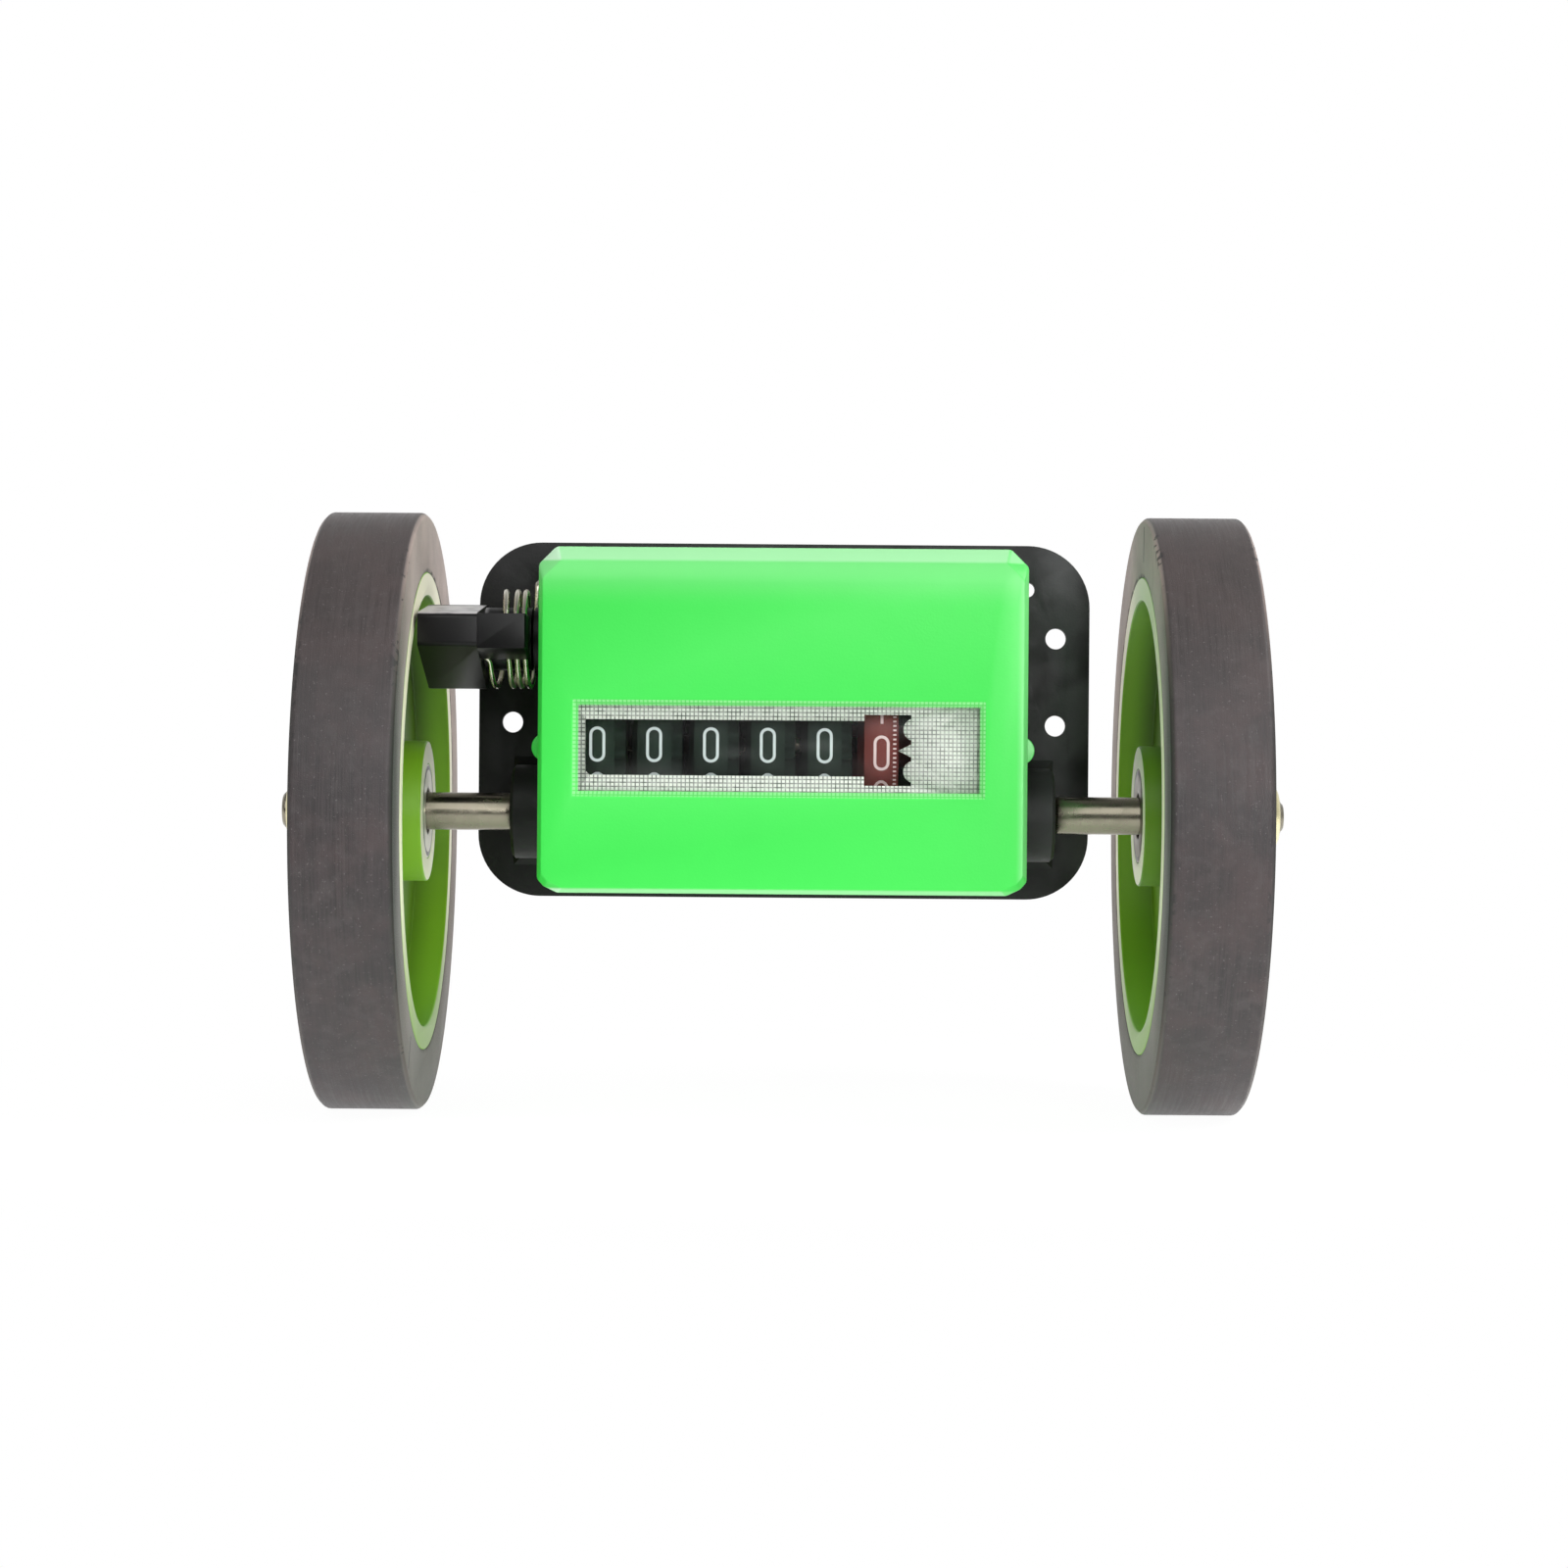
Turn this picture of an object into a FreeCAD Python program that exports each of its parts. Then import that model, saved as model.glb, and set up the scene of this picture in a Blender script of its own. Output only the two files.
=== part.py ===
import FreeCAD, Part
import math
import os

# Rolling cable length counter, in millimetres.
# X runs along the wheel shaft, Z points up and the window looks towards -Y.
# The origin is on the shaft's axis, midway between the wheels.

# Rolling wheels: two tyred wheels whose tread runs on the cable
tread_length = 300.0
wheel_width = 15.5
wheel_side_gap = 19.6
tyre_thickness = 9.45
tyre_edge_bevel = 0.7
rim_thickness = 3.8
web_thickness = 4.0
hub_radius = 11.25
hub_proud = 0.1
insert_radius = 7.5
insert_mouth_radius = 3.7
insert_mouth_depth = 0.9

# Wheel shaft, its sleeve and collars
shaft_radius = 3.0
journal_radius = 2.5
shaft_end_gap = 0.3
shaft_end_dome = 0.5
sleeve_chamfer = 0.5
collar_radius = 6.0
collar_length = 6.6
collar_gap = 0.1
collar_edge = 1.7
shaft_proud = 0.8

# Base plate of the moulded frame, with its mounting holes
plate_side_width = 12.5
plate_bottom = -14.0
plate_top = 44.0
plate_front = 11.4
plate_thickness = 1.5
plate_corner = 10.2
bolt_hole_radius = 1.7
bolt_hole_edge_gap = 5.5
bolt_hole_low = 14.5
bolt_hole_high = 28.8
small_hole_radius = 1.2
small_hole_side_gap = 2.3
small_hole_height = 36.8

# Cover with its bevelled front, window and snap bumps
cover_width = 75.0
cover_bottom = -12.0
cover_top = 41.0
cover_front = -27.0
cover_wall = 1.6
cover_front_wall = 1.3
cover_corner = 2.7
cover_low_corner_width = 3.1
cover_low_corner_height = 2.1
cover_low_corner_knee = 1.0
cover_corner_round = 1.2
cover_bevel_depth = 1.3
cover_bevel_top_height = 2.2
cover_bevel_bottom_height = 0.8
cover_bevel_side_width = 0.7
window_left_gap = 5.4
window_right_gap = 6.5
window_bottom = 2.8
window_top = 17.6
window_slope_width = 0.9
lens_margin = 1.2
lens_thickness = 0.9
lens_rib = 0.9
mask_thickness = 0.25
bump_radius = 2.2
bump_height = 10.3
bump_sink = 0.4
bump_front = -15.0
bump_back = -1.0
snap_radius = 1.2
snap_gap = 0.35
slot_gap = 0.4

# Openings of the window's mask: counting strip, last-wheel box and pointer bay, placed from the last wheel
strip_left_gap = 1.9
strip_corner_height = 0.6
strip_bottom = 6.1
strip_top = 14.6
box_left_gap = 0.1
box_bottom = 4.7
box_top = 15.6
bay_right_length = 4.5
bay_waist_length = 3.3
pointer_tip_length = 2.5
pointer_height = 10.1
pointer_half_base = 1.0
bay_horn_height = 0.6

# Side walls of the moulded frame, which carry the shafts
frame_cover_gap = 0.3
frame_thickness = 2.1
frame_front = -19.0
frame_bottom = -6.5
frame_top = 34.5
frame_shoulder = 17.5
frame_nose = -10.0
frame_round = 2.5
frame_rib_depth = 2.4
frame_rib_length = 5.0
boss_radius = 7.5
boss_side_length = 5.8
boss_lip = 1.0
boss_edge = 0.5
boss_foot_width = 1.4
boss_hole_gap = 0.25
bush_radius = 3.5
bush_proud = 0.8

# Gear train from the wheel shaft to the first number wheel
first_module = 0.75
second_module = 0.8
input_teeth = 12
idler_large_teeth = 20
idler_small_teeth = 10
drum_teeth = 20
gear_pressure_angle = 25.0
gear_tip_height = 0.65
gear_root_depth = 0.85
gear_thinning_width = 0.08
gear_width = 2.6
flank_shares = (0, 1)
first_mesh_gap = 5.3
mesh_spacing_length = 4.8
input_hub_radius = 4.0
input_hub_length = 1.6
idler_axle_radius = 1.5
idler_boss_radius = 3.2
idler_axle_end_length = 2.0

# Number wheels on their axle
number_axis_y = -12.3
number_axis_z = 10.8
number_axle_radius = 1.5
spacer_wall = 0.7
first_wheel_gap = 8.2
last_wheel_gap = 5.0
wheel_count = 6
drum_radius = 11.3
carry_space_width = 3.54
drum_hub_radius = 3.3
last_wheel_advance_angle = 5.5

# Tens carry: gear, two-toothed arm and pinion between neighbouring wheels
carry_module = 0.95
carry_gear_teeth = 20
carry_pinion_teeth = 8
carry_pressure_angle = 25.0
carry_tip_height = 0.68
carry_root_depth = 0.88
carry_thinning_width = 0.08
carry_gear_width = 1.6
carry_axle_radius = 0.9
carry_pinion_width = 2.8
carry_pinion_gap = 0.22
carry_arm_width = 0.7
carry_arm_reach = 8.6
carry_tooth_depth = 1.6
carry_tooth_width = 1.1

# Reset shaft with heart cams, comb, lever and spring
reset_axis_y = -5.4
reset_axis_z = 27.5
reset_shaft_radius = 2.0
reset_travel_angle = 35.0
cam_width = 1.0
cam_least_radius = 3.8
cam_most_radius = 7.0
cam_steps = 16
finger_thickness = 0.7
finger_width = 2.2
finger_length = 10.7
comb_radius = 3.2
comb_end_length = 4.8
lever_side_gap = 9.8
lever_width = 9.2
lever_front = -22.0
lever_tip_bottom = 25.9
lever_tip_top = 30.9
lever_root = -5.0
lever_root_bottom = 19.6
lever_root_top = 32.9
lever_back = 0.6
lever_edge = 0.9
lever_hub_radius = 5.0
lever_hub_gap = 2.4
finger_bar_gap = 2.2
finger_bar_back = -14.1
finger_bar_front_bottom = 25.5
finger_bar_back_bottom = 24.0
finger_bar_step = 0.25
reset_boss_length = 2.0
clip_radius = 3.6
clip_groove_radius = 1.6
clip_thickness = 0.6
clip_gap = 0.2
spring_wire = 0.85
spring_radius = 7.52
spring_pitch = 1.3
spring_wide_pitch = 3.0
spring_turns = 3
spring_end_gap = 2.5
spring_start_angle = 213.0
spring_leg_bend = 1.3
spring_leg_sink = 1.6
spring_hole_gap = 0.15
spring_sides = 6

# Full and half turns, in degrees
full_turn = 360
half_turn = 180

# Clearances and overruns
running_gap = 0.03
seat_gap = 0.01
face_gap = 0.3
overrun = 1.0

# Sizes that follow from the ones above
cover_half = cover_width / 2
cover_inner_half = cover_half - cover_wall
wheel_radius = tread_length / (2 * math.pi)
rim_outer = wheel_radius - tyre_thickness
rim_inner = rim_outer - rim_thickness
wheel_inner = cover_half + wheel_side_gap
wheel_outer = wheel_inner + wheel_width
collar_start = wheel_outer + hub_proud + collar_gap
collar_end = collar_start + collar_length
shaft_reach = collar_end + shaft_proud
boss_face = cover_half + boss_side_length
shoulder = boss_face + shaft_end_gap
plate_half = cover_half + plate_side_width
plate_back = plate_front + plate_thickness
bolt_side = plate_half - bolt_hole_edge_gap
small_hole_side = cover_half + small_hole_side_gap
frame_outer = cover_inner_half - frame_cover_gap
frame_inner = frame_outer - frame_thickness
rib_inner = frame_inner - frame_rib_length
first_mesh_x = frame_inner - first_mesh_gap
second_mesh_x = first_mesh_x - mesh_spacing_length
drum_end_x = second_mesh_x + gear_width
idler_axle_start = second_mesh_x - idler_axle_end_length
first_wheel_x = second_mesh_x - first_wheel_gap
wheel_pitch = (first_wheel_x + frame_inner - last_wheel_gap) / (wheel_count - 1)
wheel_places = [first_wheel_x - wheel_pitch * index for index in range(wheel_count)]
drum_half_width = (wheel_pitch - carry_space_width) / 2
window_left = -cover_half + window_left_gap
window_right = cover_half - window_right_gap
strip_left = window_left + strip_left_gap
box_left = first_wheel_x - drum_half_width - box_left_gap
bay_right = first_wheel_x + bay_right_length
bay_waist = first_wheel_x + bay_waist_length
pointer_tip = first_wheel_x + pointer_tip_length
comb_end = first_wheel_x + comb_end_length
lever_right = -cover_half - lever_side_gap
lever_left = lever_right - lever_width
lever_hub_end = -cover_half - lever_hub_gap
finger_bar_right = -cover_half - finger_bar_gap
reset_boss_end = -cover_half - reset_boss_length
spring_end = -cover_half - spring_end_gap
lens_front = cover_front + cover_front_wall
lens_back = lens_front + lens_thickness
mask_back = lens_back + mask_thickness
shaft_axis = (0, 0)
number_axis = (number_axis_y, number_axis_z)
reset_axis = (reset_axis_y, reset_axis_z)
first_centres = first_module * (input_teeth + idler_large_teeth) / 2
second_centres = second_module * (idler_small_teeth + drum_teeth) / 2
carry_centres = carry_module * (carry_gear_teeth + carry_pinion_teeth) / 2
carry_axis = (number_axis_y, number_axis_z - carry_centres)


def point(x, y, z):
    return FreeCAD.Vector(x, y, z)


def around(axis, radius, angle, x):
    """Point at an angle about an axis along X, counted from +Y towards +Z in degrees."""
    turn = math.radians(angle)
    return point(x, axis[0] + radius * math.cos(turn), axis[1] + radius * math.sin(turn))


def block(x, y, z):
    """Box between the lower and upper ends given for each direction."""
    corner = point(x[0], y[0], z[0])
    return Part.makeBox(x[1] - x[0], y[1] - y[0], z[1] - z[0], corner)


def rod(radius, x, axis=shaft_axis):
    """Round bar along X."""
    return Part.makeCylinder(radius, x[1] - x[0], point(x[0], axis[0], axis[1]), point(1, 0, 0))


def ring(outer, inner, x, axis=shaft_axis):
    """Round tube along X."""
    return rod(outer, x, axis).cut(rod(inner, x, axis))


def hole_along_y(radius, x, z, y):
    """Cylinder along Y between two depths."""
    return Part.makeCylinder(radius, y[1] - y[0], point(x, y[0], z), point(0, 1, 0))


def turned(profile, axis=shaft_axis):
    """Solid turned about an axis along X from (x, radius) pairs."""
    points = [point(x, axis[0], axis[1] + radius) for x, radius in profile]
    face = Part.Face(Part.makePolygon(points + points[:1]))
    return face.revolve(point(0, axis[0], axis[1]), point(1, 0, 0), full_turn)


def rounded_face(points, radii):
    """Flat face whose corners are rounded, each by its own radius."""
    count = len(points)
    begins = []
    middles = []
    ends = []
    for index in range(count):
        corner = points[index]
        before = (points[index - 1] - corner).normalize()
        after = (points[(index + 1) % count] - corner).normalize()
        half = before.getAngle(after) / 2
        reach = radii[index] / math.tan(half)
        inward = (before + after).normalize()
        begins.append(corner + before * reach)
        middles.append(corner + inward * (radii[index] / math.sin(half) - radii[index]))
        ends.append(corner + after * reach)
    edges = []
    for index in range(count):
        following = (index + 1) % count
        if radii[index] > 0:
            edges.append(Part.Arc(begins[index], middles[index], ends[index]).toShape())
        edges.append(Part.makeLine(ends[index], begins[following]))
    return Part.Face(Part.Wire(edges))


def rectangle(x, y, z):
    """Corners of an upright rectangle at depth y."""
    return [point(x[0], y, z[0]), point(x[1], y, z[0]), point(x[1], y, z[1]), point(x[0], y, z[1])]


def frustum(low, high):
    """Solid between two outlines of equally many points, with flat sides."""
    wires = [Part.makePolygon(points + points[:1]) for points in (low, high)]
    return Part.makeLoft(wires, True, True)


def involute(angle):
    return math.tan(angle) - angle


def gear(teeth, tooth, widths, bore, axis, first_tooth):
    """Spur gear. tooth holds its module, pressure angle, tip height, root depth and thinning."""
    size, pressure_degrees, tip_height, root_depth, thinning_width = tooth
    pressure = math.radians(pressure_degrees)
    pitch_radius = size * teeth / 2
    base_radius = pitch_radius * math.cos(pressure)
    tip_radius = pitch_radius + tip_height
    root_radius = pitch_radius - root_depth
    half_pitch_angle = math.pi / (2 * teeth) - thinning_width / (2 * pitch_radius)
    flank_start = max(base_radius, root_radius)
    flank = []
    for share in flank_shares:
        radius = flank_start + (tip_radius - flank_start) * share
        half = half_pitch_angle + involute(pressure) - involute(math.acos(base_radius / radius))
        flank.append((radius, math.degrees(half)))
    flank[0] = (root_radius, flank[0][1])
    points = []
    for index in range(teeth):
        centre = first_tooth + full_turn * index / teeth
        points += [around(axis, radius, centre - half, widths[0]) for radius, half in flank]
        points += [around(axis, radius, centre + half, widths[0]) for radius, half in reversed(flank)]
    face = Part.Face(Part.makePolygon(points + points[:1]))
    body = face.extrude(point(widths[1] - widths[0], 0, 0))
    return body.cut(rod(bore, (widths[0] - overrun, widths[1] + overrun), axis))


gear_tooth = (gear_pressure_angle, gear_tip_height, gear_root_depth, gear_thinning_width)
carry_tooth = (carry_pressure_angle, carry_tip_height, carry_root_depth, carry_thinning_width)
first_tooth_form = (first_module, *gear_tooth)
second_tooth_form = (second_module, *gear_tooth)
carry_tooth_form = (carry_module, *carry_tooth)


def direction(start, end):
    """Angle of the line between two axes, from +Y towards +Z in degrees."""
    return math.degrees(math.atan2(end[1] - start[1], end[0] - start[0]))


def idler_place():
    """Axis that meshes with both the wheel shaft and the number axle, on the side away from the window."""
    span = math.hypot(number_axis_y, number_axis_z)
    along = (first_centres ** 2 - second_centres ** 2 + span ** 2) / (2 * span)
    across = math.sqrt(first_centres ** 2 - along ** 2)
    unit_y = number_axis_y / span
    unit_z = number_axis_z / span
    return (unit_y * along + unit_z * across, unit_z * along - unit_y * across)


idler_axis = idler_place()


def mirrored(x, side):
    """Pair of places along X on one side, in rising order."""
    return (x[0], x[1]) if side > 0 else (-x[1], -x[0])


# Wheels

def wheel_rim(side):
    """Green wheel with a deep dish on both faces between its hub and its rim."""
    low, high = mirrored((wheel_inner, wheel_outer), side)
    hub_low = low - hub_proud
    hub_high = high + hub_proud
    web_low = (low + high - web_thickness) / 2
    web_high = web_low + web_thickness
    bore = insert_radius + seat_gap
    outer = rim_outer - seat_gap
    profile = [
        (hub_low, bore), (hub_low, hub_radius), (web_low, hub_radius), (web_low, rim_inner),
        (low, rim_inner), (low, outer), (high, outer), (high, rim_inner), (web_high, rim_inner),
        (web_high, hub_radius), (hub_high, hub_radius), (hub_high, bore),
    ]
    return turned(profile)


def tyre(side):
    """Rubber tyre with bevelled edges."""
    low, high = mirrored((wheel_inner, wheel_outer), side)
    profile = [
        (low, rim_outer), (low, wheel_radius - tyre_edge_bevel), (low + tyre_edge_bevel, wheel_radius),
        (high - tyre_edge_bevel, wheel_radius), (high, wheel_radius - tyre_edge_bevel), (high, rim_outer),
    ]
    return turned(profile)


def hub_insert(side):
    """Steel insert with a wide mouth on the face towards the counter."""
    near = side * (wheel_inner - hub_proud)
    far = side * (wheel_outer + hub_proud)
    mouth = near + side * insert_mouth_depth
    bore = shaft_radius + seat_gap
    return turned([
        (mouth, bore), (mouth, insert_mouth_radius), (near, insert_mouth_radius), (near, insert_radius),
        (far, insert_radius), (far, bore),
    ])


def input_shaft():
    """Shaft with a thick left end and a thin journal that carries the gear and the sleeve."""
    dome_radius = shaft_radius - shaft_end_dome
    journal_tip = journal_radius - shaft_end_dome
    profile = [
        (-shaft_reach, 0), (-shaft_reach, dome_radius), (-shaft_reach + shaft_end_dome, shaft_radius),
        (-shoulder, shaft_radius), (-shoulder, journal_radius),
        (shaft_reach - shaft_end_dome, journal_radius),
        (shaft_reach, journal_tip), (shaft_reach, 0),
    ]
    return turned(profile)


def shaft_sleeve():
    """Sleeve that brings the right end of the shaft up to the wheel's bore, chamfered at its inner end."""
    bore = journal_radius + seat_gap
    end = shaft_reach - shaft_end_dome
    tip = shaft_radius - shaft_end_dome / 2
    profile = [
        (shoulder, bore), (shoulder, shaft_radius - sleeve_chamfer / 2),
        (shoulder + sleeve_chamfer, shaft_radius), (end - shaft_end_dome / 2, shaft_radius),
        (end, tip), (end, bore),
    ]
    return turned(profile)


def collar(side):
    """Brass collar with a rounded outer edge."""
    bore = shaft_radius + seat_gap
    return turned([
        (side * collar_start, bore), (side * collar_start, collar_radius),
        (side * (collar_end - collar_edge), collar_radius),
        (side * collar_end, collar_radius - collar_edge), (side * collar_end, bore),
    ])


# Base frame and fixed axles

def base_plate():
    """Flat plate with round corners and mounting holes."""
    corners = rectangle((-plate_half, plate_half), plate_front, (plate_bottom, plate_top))
    plate = rounded_face(corners, [plate_corner] * 4).extrude(point(0, plate_thickness, 0))
    through = (plate_front - overrun, plate_back + overrun)
    for side in (-1, 1):
        for height in (bolt_hole_low, bolt_hole_high):
            plate = plate.cut(hole_along_y(bolt_hole_radius, side * bolt_side, height, through))
        plate = plate.cut(hole_along_y(small_hole_radius, side * small_hole_side, small_hole_height, through))
    return plate


def boss_foot(side):
    """Foot that widens the shaft's boss towards the plate, outside the cover."""
    start = cover_half + face_gap
    near_x = mirrored((start, boss_face - boss_edge), side)
    far_x = mirrored((start, boss_face - boss_edge + boss_foot_width), side)
    near = rectangle(near_x, plate_front - boss_foot_width, (-boss_radius, boss_radius))
    reach = boss_radius + boss_foot_width
    far = rectangle(far_x, plate_front + seat_gap, (-reach, reach))
    return frustum(near, far)


def side_wall(side):
    """Upright wall with its shaft boss, a rib along the plate and a snap lug for the cover."""
    x = mirrored((frame_inner, frame_outer), side)[0]
    back = plate_front + seat_gap
    outline = [
        (back, frame_bottom), (back, frame_top), (frame_nose, frame_top),
        (frame_front, frame_shoulder), (frame_front, frame_bottom),
    ]
    points = [point(x, y, z) for y, z in outline]
    rounds = [0, 0, frame_round, frame_round, frame_round]
    wall = rounded_face(points, rounds).extrude(point(frame_thickness, 0, 0))
    rib_y = (plate_front - frame_rib_depth, back)
    rib = block(mirrored((rib_inner, frame_inner), side), rib_y, (frame_bottom, frame_top))
    boss_x = mirrored((frame_outer, boss_face - boss_edge), side)
    boss = rod(boss_radius, boss_x).fuse(turned([
        (side * (boss_face - boss_edge), 0), (side * (boss_face - boss_edge), boss_radius),
        (side * boss_face, boss_radius - boss_edge), (side * boss_face, 0),
    ]))
    saddle = block(boss_x, (0, back), (-boss_radius, boss_radius))
    lug_y = (bump_front + cover_wall + face_gap, bump_back)
    lug = hole_along_y(snap_radius, side * frame_outer, bump_height, lug_y)
    return wall.fuse([rib, boss, saddle, lug, boss_foot(side)])


def wall_bores(side):
    """Everything that is bored through a side wall and its bosses."""
    wall = mirrored((frame_inner - overrun, frame_outer + overrun), side)
    through = mirrored((frame_inner - overrun, boss_face + overrun), side)
    bush_seat = mirrored((frame_inner - overrun, boss_face - boss_lip), side)
    bearing = mirrored((frame_inner - overrun, -reset_boss_end + overrun), side)
    bores = [
        rod(journal_radius + boss_hole_gap, through),
        rod(bush_radius + seat_gap, bush_seat),
        rod(number_axle_radius + seat_gap, wall, number_axis),
        rod(carry_axle_radius + seat_gap, wall, carry_axis),
        rod(reset_shaft_radius + running_gap, bearing, reset_axis),
    ]
    if side > 0:
        bores.append(rod(idler_axle_radius + seat_gap, wall, idler_axis))
    return bores


def base_frame():
    """Black moulding: base plate, two side walls with the shaft's bosses, and a boss for the reset shaft."""
    reset_boss = rod(lever_hub_radius, (reset_boss_end, -frame_outer), reset_axis)
    body = base_plate().fuse([side_wall(-1), side_wall(1), reset_boss])
    for side in (-1, 1):
        body = body.cut(wall_bores(side))
    return body.removeSplitter()


def shaft_bush(side):
    """Bearing bush in a side wall's boss, a little proud on the inside."""
    x = mirrored((frame_inner - bush_proud, boss_face - boss_lip), side)
    return ring(bush_radius, journal_radius + running_gap, x)


def number_axle():
    return rod(number_axle_radius, (-frame_outer, frame_outer), number_axis)


def carry_axle():
    return rod(carry_axle_radius, (-frame_outer, frame_outer), carry_axis)


def idler_axle():
    return rod(idler_axle_radius, (idler_axle_start, frame_outer), idler_axis)


def axle_spacer():
    """Tube on the number axle between the drum gear and the right side wall."""
    x = (drum_end_x + face_gap, frame_inner - seat_gap)
    bore = number_axle_radius + running_gap
    return ring(bore + spacer_wall, bore, x, number_axis)


# Cover and window

def cover_outline(y, side, bottom, top):
    """Corners of the cover's front view: cut at 45 degrees at the top and with a knee at the bottom."""
    half = cover_half - side
    low = cover_bottom + bottom
    high = cover_top - top
    cut = cover_corner
    knee = cover_low_corner_knee
    rise = low + cover_low_corner_height
    foot = half - cover_low_corner_width
    right = [(foot, low), (half - knee, low + knee), (half, rise), (half, high - cut), (half - cut, high)]
    left = [(-x, z) for x, z in reversed(right)]
    return [point(x, y, z) for x, z in right + left]


def cover_shell():
    """Box with cut corners, a bevelled front and its back open."""
    bevel_start = cover_front + cover_bevel_depth
    bevels = (cover_bevel_side_width, cover_bevel_bottom_height, cover_bevel_top_height)
    outlines = [cover_outline(cover_front, *bevels), cover_outline(bevel_start, 0, 0, 0)]
    faces = [rounded_face(points, [cover_corner_round] * len(points)) for points in outlines]
    body = faces[1].extrude(point(0, plate_front - bevel_start, 0))
    front = Part.makeLoft([face.OuterWire for face in faces], True, True)
    body = body.fuse(front).removeSplitter()
    hollow = cover_outline(lens_front, cover_wall, cover_wall, cover_wall)
    hollow_face = Part.Face(Part.makePolygon(hollow + hollow[:1]))
    return body.cut(hollow_face.extrude(point(0, plate_front - lens_front + overrun, 0)))


def u_slot(axis, radius, x):
    """Round-ended slot that opens at the back of the cover."""
    back = plate_front + overrun
    return rod(radius, x, axis).fuse(block(x, (axis[0], back), (axis[1] - radius, axis[1] + radius)))


def lens_x():
    return (window_left - lens_margin, window_right + lens_margin)


def lens_z():
    return (window_bottom - lens_margin, window_top + lens_margin)


def lens_frame():
    """Rib on the cover's inner face that holds the lens and the mask."""
    x = lens_x()
    z = lens_z()
    gap = seat_gap
    rib = lens_rib
    outer = block((x[0] - rib, x[1] + rib), (lens_front, mask_back), (z[0] - rib, z[1] + rib))
    inner = block((x[0] - gap, x[1] + gap), (lens_front, mask_back + overrun), (z[0] - gap, z[1] + gap))
    return outer.cut(inner)


def window_cut():
    """Sloping sides of the window, from the front face down to the lens."""
    near = rectangle((window_left, window_right), cover_front, (window_bottom, window_top))
    slope = window_slope_width
    far = rectangle(
        (window_left + slope, window_right - slope), lens_front, (window_bottom + slope, window_top - slope),
    )
    return frustum(near, far)


def cover():
    """Green cover with window, snap bumps and slots for the bosses."""
    body = cover_shell().fuse(lens_frame())
    bump_x = cover_half - bump_sink
    pocket = snap_radius + snap_gap
    pocket_y = (bump_front + cover_wall, plate_front + overrun)
    for side in (-1, 1):
        bump = hole_along_y(bump_radius, side * bump_x, bump_height, (bump_front, bump_back))
        inside = mirrored((0, cover_inner_half + overrun / 2), side)
        bump = bump.cut(block(inside, (bump_front - overrun, bump_back + overrun), (cover_bottom, cover_top)))
        body = body.fuse(bump)
        body = body.cut(hole_along_y(pocket, side * cover_inner_half, bump_height, pocket_y))
        wall = mirrored((cover_inner_half - overrun, cover_half + bump_radius + overrun), side)
        body = body.cut(u_slot(shaft_axis, boss_radius + slot_gap, wall))
    wall = (-cover_half - overrun, -cover_inner_half + overrun)
    body = body.cut(u_slot(reset_axis, lever_hub_radius + slot_gap, wall))
    return body.cut(window_cut())


def window_lens():
    return block(lens_x(), (lens_front, lens_back), lens_z())


def scallop(low, high, y):
    """Curved hollow in the bay's right edge, from one height up to another."""
    ends = [point(bay_right, y, height) for height in (low, high)]
    return Part.Arc(ends[0], point(bay_waist, y, (low + high) / 2), ends[1]).toShape()


def mask_opening():
    """Stencil: a strip for the black wheels, a taller box for the last one and a bay with a pointer."""
    pointer_low = pointer_height - pointer_half_base
    pointer_high = pointer_height + pointer_half_base
    low_scallop = (box_bottom + bay_horn_height, pointer_low - bay_horn_height)
    high_scallop = (pointer_high + bay_horn_height, box_top - bay_horn_height)
    cut = strip_corner_height
    lower = [
        (strip_left, strip_bottom + cut), (strip_left + cut, strip_bottom), (box_left, strip_bottom),
        (box_left, box_bottom), (bay_right, box_bottom), (bay_right, low_scallop[0]),
    ]
    pointer = [
        (bay_right, low_scallop[1]), (bay_right, pointer_low), (pointer_tip, pointer_height),
        (bay_right, pointer_high), (bay_right, high_scallop[0]),
    ]
    upper = [
        (bay_right, high_scallop[1]), (bay_right, box_top), (box_left, box_top), (box_left, strip_top),
        (strip_left, strip_top), (strip_left, strip_bottom + cut),
    ]
    y = lens_back - overrun
    edges = [scallop(*low_scallop, y), scallop(*high_scallop, y)]
    for corners in (lower, pointer, upper):
        edges += Part.makePolygon([point(x, y, z) for x, z in corners]).Edges
    face = Part.Face(Part.Wire(Part.__sortEdges__(edges)))
    return face.extrude(point(0, mask_thickness + 2 * overrun, 0))


def digit_mask():
    """Thin bright sheet behind the lens, cut out over the number wheels."""
    return block(lens_x(), (lens_back, mask_back), lens_z()).cut(mask_opening())


# Gear train

def input_gear():
    """Gear on the wheel shaft with a short hub."""
    first = direction(shaft_axis, idler_axis)
    x = (first_mesh_x, first_mesh_x + gear_width)
    bore = journal_radius + seat_gap
    hub = ring(input_hub_radius, bore, (x[0] - input_hub_length, x[0]))
    return gear(input_teeth, first_tooth_form, x, bore, shaft_axis, first).fuse(hub)


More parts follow.
